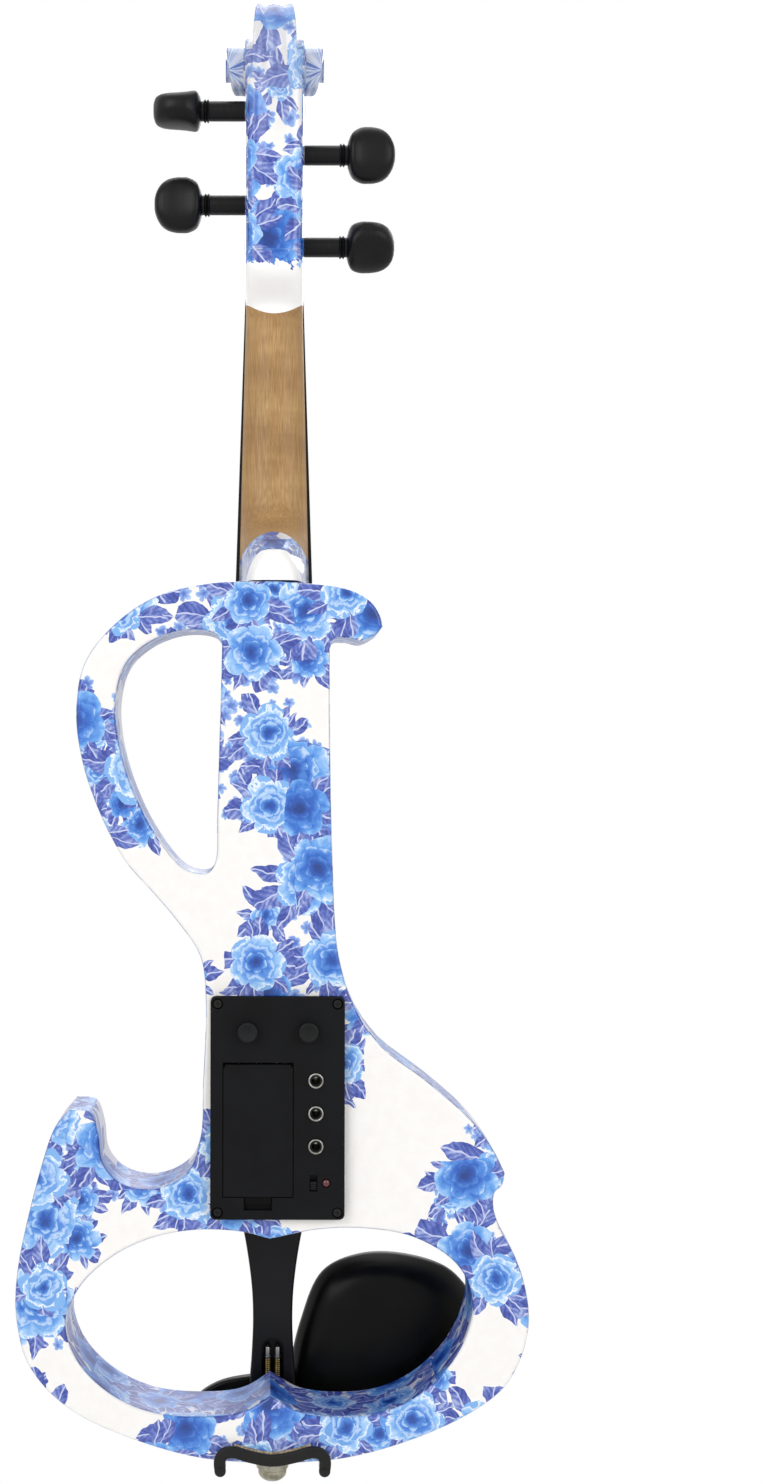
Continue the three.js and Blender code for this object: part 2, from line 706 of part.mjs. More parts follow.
// Bridge: half outline as [from the middle, above the body's front]; the top follows the strings' arch
const bridgeFoot = 4.6; // thickness at the feet
const bridgeCrest = 1.8; // thickness at the top
const bridgeHalfShares = [
  [0.97, 0.87], [0.9, 0.78], [0.76, 0.66], [0.71, 0.6], [0.83, 0.56], [0.96, 0.5], [0.99, 0.43],
  [0.9, 0.37], [0.72, 0.35], [0.6, 0.29], [0.66, 0.19], [0.84, 0.12], [1, 0.06], [1, 0],
  [0.52, 0], [0.49, 0.05], [0.36, 0.14], [0.18, 0.19],
];
const bridgeFootHalf = 20.6;
const bridgeTopHalf = 19;
const bridgeSteps = 12;
const bridgeCrestAt = (x) => bridgeStringY - archDrop(x) - stringDiameters[0] / 2 - gap + grooveDepth;
const inBridge = ([u, v]) => new THREE.Vector2(u * bridgeFootHalf, bodyThickness + gap + v * bridgeHeight);
const bridgePoints = [];
for (let i = 0; i <= bridgeSteps; i++) {
  const x = -bridgeTopHalf + (2 * bridgeTopHalf * i) / bridgeSteps;
  bridgePoints.push(new THREE.Vector2(x, bridgeCrestAt(x)));
}
bridgePoints.push(...bridgeHalfShares.map(inBridge));
bridgePoints.push(...bridgeHalfShares.map(inBridge).reverse().map((p) => new THREE.Vector2(-p.x, p.y)));
const bridgeOutline = new THREE.Shape(bridgePoints.reverse());
const heartY = bodyThickness + gap + bridgeHeight * 0.56;
const heartR = 3.6;
const notchR = grooveR + gap; // wider than the nut's, because the strings bend over the bridge
const heart = new THREE.Path();
heart.absarc(0, heartY, heartR, 0, turn, true);
bridgeOutline.holes.push(heart);
let bridge = lump(
  new THREE.ExtrudeGeometry(bridgeOutline, { depth: bridgeFoot, bevelEnabled: false, curveSegments: 8 }),
).translate([0, 0, bridgeZ - bridgeFoot / 2]);
const bridgeTopY = bridgeStringY + overrun;
const wedgeShape = new THREE.Shape([
  new THREE.Vector2(bodyThickness + gap, bridgeFoot / 2),
  new THREE.Vector2(bridgeTopY, bridgeCrest / 2),
  new THREE.Vector2(bridgeTopY, bridgeFoot),
  new THREE.Vector2(bodyThickness + gap, bridgeFoot),
]);
const wedgeBlank = new THREE.ExtrudeGeometry(wedgeShape, { depth: 4 * bridgeFootHalf, bevelEnabled: false });
wedgeBlank.translate(0, 0, -2 * bridgeFootHalf);
// Shape x goes to Y, shape y to Z and its depth to X.
const wedge = lump(
  wedgeBlank.applyMatrix4(new THREE.Matrix4().set(0, 0, 1, 0, 1, 0, 0, 0, 0, 1, 0, 0, 0, 0, 0, 1)),
);
bridge = bridge.subtract(wedge.translate([0, 0, bridgeZ]));
stringNames.forEach((name, i) => {
  const at = stringAtBridge(i);
  const groove = along(
    bar(notchR, -bridgeFoot, bridgeFoot, 12),
    "+z", at.x, at.y, bridgeZ,
  );
  bridge = bridge.subtract(groove);
});
piece("bridge", bridge, maple);

// Tailpiece: [half width, along] shares of its widest half and its length, from the foot up
const tailHalf = 21.5;
const tailHalfShares = [
  [0, 0], [0.36, 0], [0.44, 0.03], [0.452, 0.11], [0.42, 0.2], [0.39, 0.34], [0.41, 0.46],
  [0.5, 0.6], [0.62, 0.72], [0.8, 0.85], [0.97, 0.95], [0.98, 0.985], [0.86, 1], [0, 1.01],
];
const inTail = ([u, v]) => new THREE.Vector2(u * tailHalf, tailFootZ + v * tailLength);
const tailRight = new THREE.CatmullRomCurve3(
  tailHalfShares.map(inTail).map((p) => new THREE.Vector3(p.x, p.y, 0)), false, "centripetal",
).getPoints(22);
const tailOutline = tailRight.map((p) => new THREE.Vector2(p.x, p.y));
tailOutline.push(...tailOutline.slice(1, -1).reverse().map((p) => new THREE.Vector2(-p.x, p.y)));
const tailRound = tailLength / 80;
let tailpiece = plate(new THREE.Shape(tailOutline), tailThickness, tailUnderY, tailRound, 1);

// Its recess, open below, where the two gut nuts sit
const recessHalf = 4.7;
const recessFoot = 12; // from the foot of the tailpiece
const recessLong = 19.5;
const recessFootZ = tailFootZ + recessFoot;
const recessTopZ = recessFootZ + recessLong;
const recessDepth = 5;
const recessShape = new THREE.Shape();
recessShape.moveTo(-recessHalf, recessFootZ);
recessShape.lineTo(recessHalf, recessFootZ);
recessShape.lineTo(recessHalf, recessTopZ - recessHalf);
recessShape.absarc(0, recessTopZ - recessHalf, recessHalf, 0, turn / 2);
tailpiece = tailpiece.subtract(plate(recessShape, recessDepth + overrun, tailUnderY - overrun));

// Tail gut: two legs through the foot of the tailpiece, down over the saddle and round the end button
const gutR = 0.7;
const buttonNeckR = 3.1;
const gutSpread = buttonNeckR + gap + gutR; // from the middle to each leg
const gutNutX = 2.15; // from the middle to each nut
const gutNutR = 1.7;
const gutNutLength = 12.5;
const gutNutGrip = 4; // the bright upper part of each nut
const gutY = tailUnderY + recessDepth / 2;
const gutNutClear = 4.5; // from the top of the recess to the nuts
const gutTipClear = 3.5;
const gutNutZ = recessTopZ - gutNutClear - gutNutLength;
const gutTipZ = recessTopZ - gutTipClear;
const nutBoreR = gutR + gap;
["left", "right"].forEach((side, i) => {
  const x = (i ? 1 : -1) * gutNutX;
  const waist = gutNutLength - gutNutGrip;
  const gutNut = along(
    turned(
      [
        [nutBoreR, 0], [gutNutR, 0], [gutNutR, waist], [gutNutR * 0.8, waist + gap],
        [gutNutR * 0.8, gutNutLength], [nutBoreR, gutNutLength], [nutBoreR, 0],
      ],
      10,
    ),
    "+z", x, gutY, gutNutZ,
  );
  piece("tailgut_nut_" + side, gutNut, brass);
});
const footBores = [-1, 1].map((k) =>
  along(
    bar(gutR + gap, -overrun, recessFootZ + overrun, 8),
    "+z", k * gutNutX, gutY, 0,
  ),
);
for (const bore of footBores) tailpiece = tailpiece.subtract(bore);

// Fine tuners: a lever under the tailpiece for each string, and the screw that presses on it
const slotHalf = 1.4;
const leverHalf = 1;
const leverThick = 2.4;
const leverDrop = 1; // clear of the tailpiece's underside
const leverArm = 16; // from the hook to the screw
const screwR = 1.5;
const screwHeadR = 3;
const screwHeadLong = 4.2;
const pivotBack = 3; // from the hook to the pivot, along the lever
const pivotR = 0.8;
const lugThick = 1.1;
const leverTopY = tailUnderY - leverDrop;
const screwZ = fretZ - leverArm;
const pivotZ = fretZ - pivotBack;
const pivotY = leverTopY - leverThick / 2;
const pegOrder = stringNames.map((name, i) => [name, across(fretSpread, i)]);
for (const [name, x] of pegOrder) {
  const slot = block(
    x - slotHalf, x + slotHalf, tailUnderY - overrun, tailTopY + overrun,
    fretZ - hookThick / 2 - pivotBack, fretZ + hookThick + pivotBack,
  );
  const bore = along(
    bar(screwR + gap, -overrun, tailThickness + overrun, 8),
    "+y", x, tailUnderY, screwZ,
  );
  tailpiece = tailpiece.subtract(slot).subtract(bore);
  // The hook has a slit that the string drops into, and its ball is held behind.
  const arm = block(
    x - leverHalf, x + leverHalf, leverTopY - leverThick, leverTopY, screwZ - screwR, fretZ + hookThick / 2,
  );
  const hook = block(
    x - leverHalf, x + leverHalf, leverTopY - leverThick, hookTopY + hookThick / 2,
    fretZ - hookThick / 2, fretZ + hookThick / 2,
  );
  const pin = along(
    bar(pivotR, -leverHalf * 2, leverHalf * 2, 8),
    "+x", x, pivotY, pivotZ,
  );
  piece("fine_tuner_lever_" + name, arm.add(hook).add(pin), metal);
  for (const k of [-1, 1]) {
    const inner = x + k * (leverHalf + gap);
    const outer = inner + k * lugThick;
    const lug = block(
      Math.min(inner, outer), Math.max(inner, outer), pivotY - leverThick, tailUnderY + weld,
      pivotZ - leverThick, pivotZ + leverThick,
    );
    tailpiece = tailpiece.add(lug);
  }
  tailpiece = tailpiece.subtract(
    along(
      bar(pivotR + gap, -leverHalf * 3, leverHalf * 3, 8),
      "+x", x, pivotY, pivotZ,
    ),
  );
  const tipY = leverTopY + gap;
  const headY = tailTopY + gap;
  const neckRun = headY - tipY;
  const screwLong = neckRun + screwHeadLong;
  const head = [[screwR, neckRun], [screwHeadR, neckRun], [screwHeadR, screwLong], [0, screwLong]];
  const screw = along(turned([[0, 0], [screwR, 0], ...head], 10), "+y", x, tipY, screwZ);
  piece("fine_tuner_screw_" + name, screw, metal);
}
piece("tailpiece", tailpiece, ebony);

// Saddle: a hard strip let into the body's front edge, under the tail gut
const saddleHalf = 12.5;
const saddleDeep = 5; // into the body from its front
const saddleLong = 7;
const saddleRise = 4.2;
const saddleLip = 2; // how far its lower edge stands over the body
const saddleSlope = 3.2;
const saddleShape = new THREE.Shape([
  new THREE.Vector2(bodyThickness - saddleDeep + gap, gap),
  new THREE.Vector2(bodyThickness + saddleLip, gap),
  new THREE.Vector2(bodyThickness + saddleRise, saddleSlope),
  new THREE.Vector2(bodyThickness + saddleRise, saddleLong - saddleLip),
  new THREE.Vector2(bodyThickness + saddleLip, saddleLong - gap),
  new THREE.Vector2(bodyThickness - saddleDeep + gap, saddleLong - gap),
]);
const acrossBlank = (shape, half) => {
  const g = new THREE.ExtrudeGeometry(shape, { depth: 2 * half, bevelEnabled: false });
  g.translate(0, 0, -half);
  return lump(g.applyMatrix4(new THREE.Matrix4().set(0, 0, 1, 0, 1, 0, 0, 0, 0, 1, 0, 0, 0, 0, 0, 1)));
};
piece("saddle", acrossBlank(saddleShape, saddleHalf - gap), ebony);
body = body.subtract(
  block(
    -saddleHalf, saddleHalf, bodyThickness - saddleDeep, bodyThickness + overrun, -overrun, saddleLong,
  ),
);

// End button in its bore, and the gut round its neck
const buttonY = bodyThickness / 2;
const buttonShaftR = 4;
const buttonShaft = 17;
const buttonHeadR = 6.7;
const buttonLong = 11.8;
const gutZ = -(gap + gutR);
const neckLong = 2 * gutR + 2 * gap;
const buttonShares = [
  [0.84, 0], [1, 0.14], [1, 0.4], [0.87, 0.5], [0.88, 0.6], [0.8, 0.79], [0.52, 0.95], [0, 1],
];
const headRun = buttonLong - neckLong;
const buttonProfile = [
  [0, -buttonShaft], [buttonShaftR * 0.93, -buttonShaft], [buttonShaftR, -gap], [buttonNeckR, -gap],
  [buttonNeckR, neckLong],
];
for (const [u, v] of buttonShares) buttonProfile.push([buttonHeadR * u, neckLong + headRun * v]);
piece("end_button", along(turned(buttonProfile, 16), "-z", 0, buttonY, 0), metal);
body = body.subtract(
  along(
    bar(buttonShaftR + gap, -buttonShaft - gap, overrun, 16),
    "-z", 0, buttonY, 0,
  ),
);
const bend = gap + gutR;
const bendSlack = 0.2; // the gut's corners cut in a little where it bends
const gutLeg = (side) => [
  new THREE.Vector3(side * gutNutX, gutY, gutTipZ),
  new THREE.Vector3(side * gutNutX, gutY, tailFootZ),
  new THREE.Vector3(
    (side * (gutNutX + gutSpread)) / 2, bodyThickness + saddleRise + bend + 2 * bendSlack,
    saddleSlope + bendSlack,
  ),
  new THREE.Vector3(side * gutSpread, bodyThickness + saddleLip + bend / 2, gutZ - bendSlack),
];
const gutPoints = gutLeg(-1);
const gutSteps = 8;
for (let k = 0; k <= gutSteps; k++) {
  const a = turn / 2 + (turn / 2) * (k / gutSteps);
  gutPoints.push(
    new THREE.Vector3(
      gutSpread * Math.cos(a), buttonY + (gutSpread + bendSlack) * Math.sin(a), gutZ - bendSlack,
    ),
  );
}
gutPoints.push(...gutLeg(1).reverse());
piece("tail_gut", tube(gutPoints, gutR, 6), ebony);

// Chin rest: a cup on the bass side with an arm over the foot of the tailpiece and two feet
const cupMiddle = [50, 33];
const cupHalf = [42, 39.5];
const cupShares = [
  [-1, -0.25], [-0.9, 0.28], [-0.68, 0.8], [-0.3, 0.99], [0.17, 0.99], [0.64, 0.81], [0.93, 0.38],
  [1, -0.08], [0.86, -0.46], [0.52, -0.68], [0, -0.82], [-0.52, -0.88], [-0.93, -0.7], [-1, -0.25],
];
const cupCurve = new THREE.CatmullRomCurve3(
  cupShares.slice(0, -1).map(([u, v]) => new THREE.Vector3(u * cupHalf[0], 0, v * cupHalf[1])),
  true, "centripetal",
).getPoints(24).slice(0, -1);
const restClear = 1.6; // tailpiece to the underside of the arm
const restUnderY = tailTopY + restClear;
const restThick = 5.6;
const cupClear = 8.5; // body to the lowest point of the cup
const cupLow = bodyThickness + cupClear;
const cupRimY = restUnderY + restThick;
// Rings of the cup: share of its outline, and share of its depth from the lowest point to the rim.
const cupRingShares = [
  [0.6, 0], [0.84, 0.16], [0.95, 0.52], [1, 0.74], [1, 0.92], [0.965, 1], [0.92, 0.97], [0.78, 0.8],
  [0.5, 0.62],
];
const cupRings = cupRingShares.map(([size, height]) =>
  cupCurve.map(
    (p) =>
      new THREE.Vector3(
        cupMiddle[0] + p.x * size, cupLow + (cupRimY - cupLow) * height, cupMiddle[1] + p.z * size,
      ),
  ),
);
let chinRest = loft(cupRings, false);
const armShares = [
  [0.5, 1], [-0.3, 0.95], [-0.7, 0.8], [-0.95, 0.52], [-1, 0.2], [-0.85, -0.06], [0.5, -0.06],
];
const armHalf = 34;
const armHigh = 21;
const armShape = new THREE.Shape(
  armShares.map(([u, v]) => new THREE.Vector2(u * armHalf, v * armHigh)).reverse(),
);
chinRest = chinRest.add(plate(armShape, restThick - gap, restUnderY));
const footY = bodyThickness + gap; // top of the body's face
const corkThick = 1.6;
const restFootY = footY + corkThick + gap;
const footInner = 15;
const footOuter = 30;
const footTopZ = 13;
const barrelR = 2.2;
const barrelX = 21;
const barrelBoreR = 1.25;
const edgeRise = (x) => bodyLength * wingTipShares[12][1] * (x / (halfBody * wingTipShares[12][0])) ** 2;
const barrelZ = edgeRise(barrelX) * 0.9 - barrelR - gap;
const footLowZ = barrelZ - barrelR;
const studR = barrelBoreR - gap;
const barrelStartY = 3;
const barrelShort = 2; // from the body's front face
const barrelEndY = bodyThickness - barrelShort;
const studReach = 9; // how far each stud goes into its barrel
for (const k of [-1, 1]) {
  const x0 = Math.min(k * footInner, k * footOuter);
  const x1 = Math.max(k * footInner, k * footOuter);
  chinRest = chinRest.add(block(x0, x1, restFootY, restUnderY + weld, footLowZ, footTopZ));
  const stud = bar(studR, 0, studReach + restFootY - barrelEndY + weld, 8);
  chinRest = chinRest.add(along(stud, "+y", k * barrelX, barrelEndY - studReach, barrelZ));
}
piece("chin_rest", chinRest, plastic);
["left", "right"].forEach((side, i) => {
  const k = i ? 1 : -1;
  const x0 = Math.min(k * footInner, k * footOuter);
  const x1 = Math.max(k * footInner, k * footOuter);
  const low = edgeRise(footOuter) + bodyRound;
  piece("chin_rest_cork_" + side, block(x0, x1, footY, footY + corkThick, low, footTopZ), cork);
  const bore = [barrelBoreR, 0];
  const barrelLong = barrelEndY - barrelStartY;
  let barrel = turned(
    [
      bore, [barrelR - gap, 0], [barrelR, gap], [barrelR, barrelLong - gap], [barrelR - gap, barrelLong],
      [barrelBoreR, barrelLong], bore,
    ],
    10,
  );
  const keyR = 0.8;
  barrel = barrel.subtract(
    along(bar(keyR, -barrelR - overrun, barrelR + overrun, 6), "+z", 0, barrelLong / 2, 0),
  );
  piece("clamp_barrel_" + side, along(barrel, "+y", k * barrelX, barrelStartY, barrelZ), metal);
});

// Clamp bracket on the back: a curved strip whose ends hook down to the barrels
const bracketThick = 2;
const bracketHalf = 2.3;
const backCorkThick = 1;
const bracketSpan = barrelX;
const bracketHigh = 6.3;
const bracketRound = 0.4;
const bracketShares = [
  [-1, null], [-1.01, 0.45], [-0.93, 0.88], [-0.76, 1], [-0.43, 0.7], [0, 0.46], [0.43, 0.7],
  [0.76, 1], [0.93, 0.88], [1.01, 0.45], [1, null],
];
function strip(points, half) {
  const left = [];
  const right = [];
  points.forEach((p, i) => {
    const before = points[Math.max(i - 1, 0)];
    const after = points[Math.min(i + 1, points.length - 1)];
    const d = after.clone().sub(before).normalize();
    left.push(new THREE.Vector2(p.x - d.y * half, p.y + d.x * half));
    right.push(new THREE.Vector2(p.x + d.y * half, p.y - d.x * half));
  });
  return new THREE.Shape([...right, ...left.reverse()]);
}
const bracketLine = (shares, lift) =>
  new THREE.CatmullRomCurve3(
    shares.map(
      ([u, v]) => new THREE.Vector3(u * bracketSpan, v === null ? barrelZ : v * bracketHigh + lift, 0),
    ),
    false, "centripetal",
  ).getPoints(20).map((p) => new THREE.Vector2(p.x, p.y));
const bracketY = -gap - backCorkThick - gap - bracketThick;
let bracket = plate(
  strip(bracketLine(bracketShares, 0), bracketHalf), bracketThick, bracketY, bracketRound, 1,
);
for (const k of [-1, 1]) {
  const long = barrelStartY + studReach - bracketY - bracketThick / 2;
  const boss = bar(bracketHalf, 0, bracketThick, 10);
  bracket = bracket.add(along(boss, "+y", k * barrelX, bracketY, barrelZ));
  const stud = bar(studR, 0, long, 8);
  bracket = bracket.add(along(stud, "+y", k * barrelX, bracketY + bracketThick / 2, barrelZ));
}
piece("clamp_bracket", bracket, plastic);
const corkLift = 0.5; // the cork shows above the bracket as a light line
piece(
  "clamp_bracket_cork",
  plate(
    strip(bracketLine(bracketShares.slice(3, -3), corkLift), bracketHalf), backCorkThick,
    -gap - backCorkThick,
  ),
  cork,
);

// Control panel: a box let into the back, with its face plate proud of the body
const panelX = 1.8;
const panelZ = 144.8;
const panelWide = 54;
const panelHigh = 89.6;
const panelThick = 4;
const panelCorner = 2.2;
const panelRound = 0.5;
const panelLip = 4.4; // how far the plate laps over the body round the cavity
const cavityDeep = 25;
const trayWall = 1.2;
const trayDeep = 23;
const panelBack = -gap; // the plate's inner face
const panelFace = panelBack - panelThick;
const px0 = panelX - panelWide / 2;
const px1 = panelX + panelWide / 2;
const pz0 = panelZ - panelHigh / 2;
const pz1 = panelZ + panelHigh / 2;
const cavity = [px0 + panelLip, px1 - panelLip, pz0 + panelLip, pz1 - panelLip];
body = body.subtract(block(cavity[0], cavity[1], -overrun, cavityDeep, cavity[2], cavity[3]));
const tray = [cavity[0] + gap, cavity[1] - gap, cavity[2] + gap, cavity[3] - gap];
const frame = (box, y0, y1, wall) =>
  block(box[0], box[1], y0, y1, box[2], box[3]).subtract(
    block(box[0] + wall, box[1] - wall, y0 - overrun, y1 + overrun, box[2] + wall, box[3] - wall),
  );
let panel = plate(roundedShape(px0, px1, pz0, pz1, panelCorner), panelThick, panelFace, panelRound, 1);
panel = panel.add(frame(tray, panelBack - weld, trayDeep, trayWall));

// Battery door, hinged along its top edge
const doorWide = 28;
const doorHigh = 54;
const doorAside = 7.8; // from the panel's middle
const doorUp = 9.2; // from its lower edge
const doorX = panelX - doorAside;
const doorLowZ = pz0 + doorUp;
const doorThick = 2;
const hingeR = 1.45;
const hingePinR = 0.6;
const hingePinLong = 1.4;
const hingeDeep = 1.7; // from the plate's face to the hinge line
const doorLedge = 0.5;
const hingeY = panelFace + hingeDeep;
const doorHalf = doorWide / 2;
const hingeZ = doorLowZ + doorHigh - hingeDeep - gap;
const openTopZ = hingeZ + hingeDeep + gap;
const latchWide = 11.4;
const latchHigh = 5.4;
const latchX = doorX;
const latchDeep = 2.4;
const latchTab = 3.2;
const latchThick = 0.9;
panel = panel.subtract(
  block(
    doorX - doorHalf - gap, doorX + doorHalf + gap, panelFace - overrun, panelFace + doorThick + gap,
    doorLowZ - gap, openTopZ,
  ),
);
panel = panel.subtract(
  block(
    doorX - doorHalf + doorLedge, doorX + doorHalf - doorLedge, panelFace - overrun, panelBack + overrun,
    doorLowZ + doorLedge, openTopZ,
  ),
);
panel = panel.subtract(
  block(
    latchX - latchWide / 2, latchX + latchWide / 2, panelFace - overrun, panelFace + latchDeep,
    doorLowZ - latchHigh, doorLowZ + weld,
  ),
);
const hingePin = (r, half) =>
  along(bar(r, -half, half, 10), "+x", doorX, hingeY, hingeZ);
let door = block(doorX - doorHalf, doorX + doorHalf, panelFace, panelFace + doorThick, doorLowZ, hingeZ);
door = door.add(hingePin(hingeR, doorHalf - doorLedge - gap));
door = door.add(hingePin(hingePinR, doorHalf + hingePinLong));
door = door.add(
  block(
    latchX - latchWide / 2 + gap, latchX + latchWide / 2 - gap, panelFace + latchDeep - latchThick - gap,
    panelFace + latchDeep - gap, doorLowZ - latchTab, doorLowZ + weld * 2,
  ),
);
panel = panel.subtract(hingePin(hingePinR + gap, doorHalf + hingePinLong + gap));
piece("battery_door", door, plastic);

// Battery, its contacts and the walls of its bay
const cellWide = 26;
const cellLong = 46;
const cellThick = 17;
const cellCorner = 1;
const cellY = panelFace + doorThick + 2 * gap;
const cellLowZ = doorLowZ + doorLedge + 2 * gap;
const postLong = 2.4;
const postR = 2.8;
const postSpread = 12.7;
let cell = plate(
  roundedShape(doorX - cellWide / 2, doorX + cellWide / 2, cellLowZ, cellLowZ + cellLong, cellCorner),
  cellThick, cellY,
);
const postY = cellY + cellThick / 2;
const postZ = cellLowZ + cellLong;
for (const k of [-1, 1]) {
  const post = turned([[0, -weld], [postR, -weld], [postR, postLong], [0, postLong]], k < 0 ? 6 : 10);
  cell = cell.add(along(post, "+z", doorX + (k * postSpread) / 2, postY, postZ));
}
piece("battery", cell, cellWrap);
const contactLowZ = postZ + postLong + gap;
const bayTopZ = openTopZ + gap;
const contacts = block(
  doorX - postSpread, doorX + postSpread, postY - postR - weld, postY + postR + weld,
  contactLowZ, bayTopZ - gap,
);
piece("battery_contacts", contacts, metal);
const bayRight = doorX + doorHalf + gap;
panel = panel.add(
  block(bayRight, bayRight + trayWall, panelBack - weld, trayDeep, tray[2] + weld, bayTopZ + trayWall),
);
panel = panel.add(
  block(tray[0] + weld, bayRight + trayWall, panelBack - weld, trayDeep, bayTopZ, bayTopZ + trayWall),
);
const bayFloorY = cellY + cellThick + gap;
panel = panel.add(
  block(tray[0] + weld, bayRight + weld, bayFloorY, bayFloorY + trayWall, tray[2] + weld, bayTopZ + weld),
);

// Circuit board: an L behind the knobs and the jacks
const boardY = 9.6;
const boardThin = 1.6;
const boardClear = 0.6;
const bx0 = tray[0] + trayWall + boardClear;
const bx1 = tray[1] - trayWall - boardClear;
const bz0 = tray[2] + trayWall + boardClear;
const bz1 = tray[3] - trayWall - boardClear;
const legX = bayRight + trayWall + boardClear;
const shelfZ = bayTopZ + trayWall + boardClear;
const circuit = plate(
  new THREE.Shape([
    new THREE.Vector2(bx0, shelfZ), new THREE.Vector2(legX, shelfZ), new THREE.Vector2(legX, bz0),
    new THREE.Vector2(bx1, bz0), new THREE.Vector2(bx1, bz1), new THREE.Vector2(bx0, bz1),
  ]),
  boardThin, boardY,
);
piece("circuit_board", circuit, greenBoard);
const boardRest = 1.2;
for (const [x, z] of [[tray[0], pz1], [tray[1], pz1], [tray[1], pz0]]) {
  const x0 = x < panelX ? x + weld : x - weld - trayWall - boardClear - boardRest;
  const z1 = z > panelZ ? tray[3] - weld : tray[2] + weld + trayWall + boardClear + boardRest;
  panel = panel.add(
    block(
      x0, x0 + trayWall + boardClear + boardRest, panelBack - weld, boardY - gap,
      z1 - trayWall - boardClear - boardRest, z1,
    ),
  );
}

// Knobs on their potentiometers
const knobXs = [-12, 12.4]; // from the panel's middle
const knobUp = 31;
const knobZ = panelZ + knobUp;
const knobR = 4;
const knobHigh = 5;
const potWide = 9.4;
const potShaftR = 1.7;
const potShaftIn = 3.2; // how far the shaft goes into the knob
const potY = gap;
["left", "right"].forEach((side, i) => {
  const x = panelX + knobXs[i];
  const knobY = panelFace - gap;
  const knob = turned(
    [
      [potShaftR + gap, 0], [knobR, 0], [knobR, knobHigh - panelRound], [knobR - panelRound, knobHigh],
      [0, knobHigh], [0, potShaftIn + gap], [potShaftR + gap, potShaftIn + gap], [potShaftR + gap, 0],
    ],
    16,
  );
  const pointer = block(
    -panelRound, panelRound, knobHigh - weld, knobHigh + gap, panelRound - knobR, -knobR / 3,
  );
  piece("knob_" + side, along(knob.add(pointer), "-y", x, knobY, knobZ), plastic);
  const pot = block(
    x - potWide / 2, x + potWide / 2, potY, boardY - gap, knobZ - potWide / 2, knobZ + potWide / 2,
  );
  const shaftLong = potY - knobY + potShaftIn + weld;
  const shaft = bar(potShaftR, 0, shaftLong, 10);
  piece("potentiometer_" + side, pot.add(along(shaft, "-y", x, potY + weld, knobZ)), metal);
  panel = panel.subtract(
    along(
      bar(potShaftR + gap, -overrun, panelThick + overrun, 10),
      "-y", x, panelBack, knobZ,
    ),
  );
});

// Jacks with their metal rings
const jackAside = 15.4; // from the panel's middle
const jackUp = 11.2;
const jackX = panelX + jackAside;
const jackTopZ = panelZ + jackUp;
const jackStep = 13.2;
const jackBoreR = 1.8;
const jackSleeveR = 2.6;
const jackRingR = 3.1;
const jackRingHigh = 1;
const jackWide = 7.6;
["line", "headphone", "input"].forEach((use, i) => {
  const z = jackTopZ - i * jackStep;
  const out = panelFace - gap;
  const run = -out + gap;
  const shell = block(
    jackX - jackWide / 2, jackX + jackWide / 2, gap, boardY - gap, z - jackWide / 2, z + jackWide / 2,
  );
  const bore = along(
    bar(jackBoreR, -overrun, boardY + overrun, 12),
    "-y", jackX, boardY - 3 * gap, z,
  );
  const rim = along(
    turned(
      [
        [jackBoreR, -weld], [jackSleeveR, -weld], [jackSleeveR, run], [jackRingR, run],
        [jackRingR, run + jackRingHigh - gap], [jackRingR - gap, run + jackRingHigh],
        [jackBoreR + gap, run + jackRingHigh], [jackBoreR, run + jackRingHigh - gap], [jackBoreR, -weld],
      ],
      12,
    ),
    "-y", jackX, gap, z,
  );
  const boredShell = shell.subtract(
    along(bar(jackBoreR, -overrun, boardY - 4 * gap, 12), "+y", jackX, gap, z),
  );
  piece("jack_" + use, boredShell.add(rim), metal);
  panel = panel.subtract(
    along(
      bar(jackSleeveR + gap, -overrun, panelThick + overrun, 12),
      "-y", jackX, panelBack, z,
    ),
  );
});

// Slide switch
const switchAside = 14.5; // from the panel's middle
const switchDown = 30;
const switchX = panelX + switchAside;
const switchZ = panelZ - switchDown;
const slotWide = 3.2;
const slotHigh = 6.6;
const sliderLong = 3.4;
const sliderLow = 0.8; // how far the slider lies under the plate's face
const flangeThick = 0.9;
panel = panel.subtract(
  block(
    switchX - slotWide / 2, switchX + slotWide / 2, panelFace - overrun, panelBack + overrun,
    switchZ - slotHigh / 2, switchZ + slotHigh / 2,
  ),
);
const sliderZ = switchZ - slotHigh / 2 + gap;
const slider = block(
  switchX - slotWide / 2 + gap, switchX + slotWide / 2 - gap, panelFace + sliderLow, gap,
  sliderZ, sliderZ + sliderLong,
).add(
  block(
    switchX - slotWide / 2 - gap, switchX + slotWide / 2 + gap, gap - weld / 2, gap + flangeThick,
    sliderZ, sliderZ + sliderLong,
  ),
);
piece("switch_slider", slider, plastic);
piece(
  "switch_body",
  block(
    switchX - slotWide, switchX + slotWide / 2 + 2 * gap, 2 * gap + flangeThick, boardY - gap,
    switchZ - slotHigh / 2 - weld, switchZ + slotHigh / 2 + weld,
  ),
  metal,
);

// Power light
const lampAside = 19.6; // from the panel's middle
const lampX = panelX + lampAside;
const lampR = 1.5;
const lampOut = 0.5;
const lampBase = -panelFace + lampOut;
const lamp = turned(
  [
    [0, -boardY + 2 * gap], [lampR - gap, -boardY + 2 * gap], [lampR - gap, gap], [lampR, gap],
    [lampR, lampBase - lampR / 2], [lampR * 0.7, lampBase - lampR / 6], [0, lampBase],
  ],
  10,
);
piece("power_light", along(lamp, "-y", lampX, 0, switchZ), redLens);
panel = panel.subtract(
  along(
    bar(lampR + gap, -overrun, panelThick + overrun, 10),
    "-y", lampX, panelBack, switchZ,
  ),
);

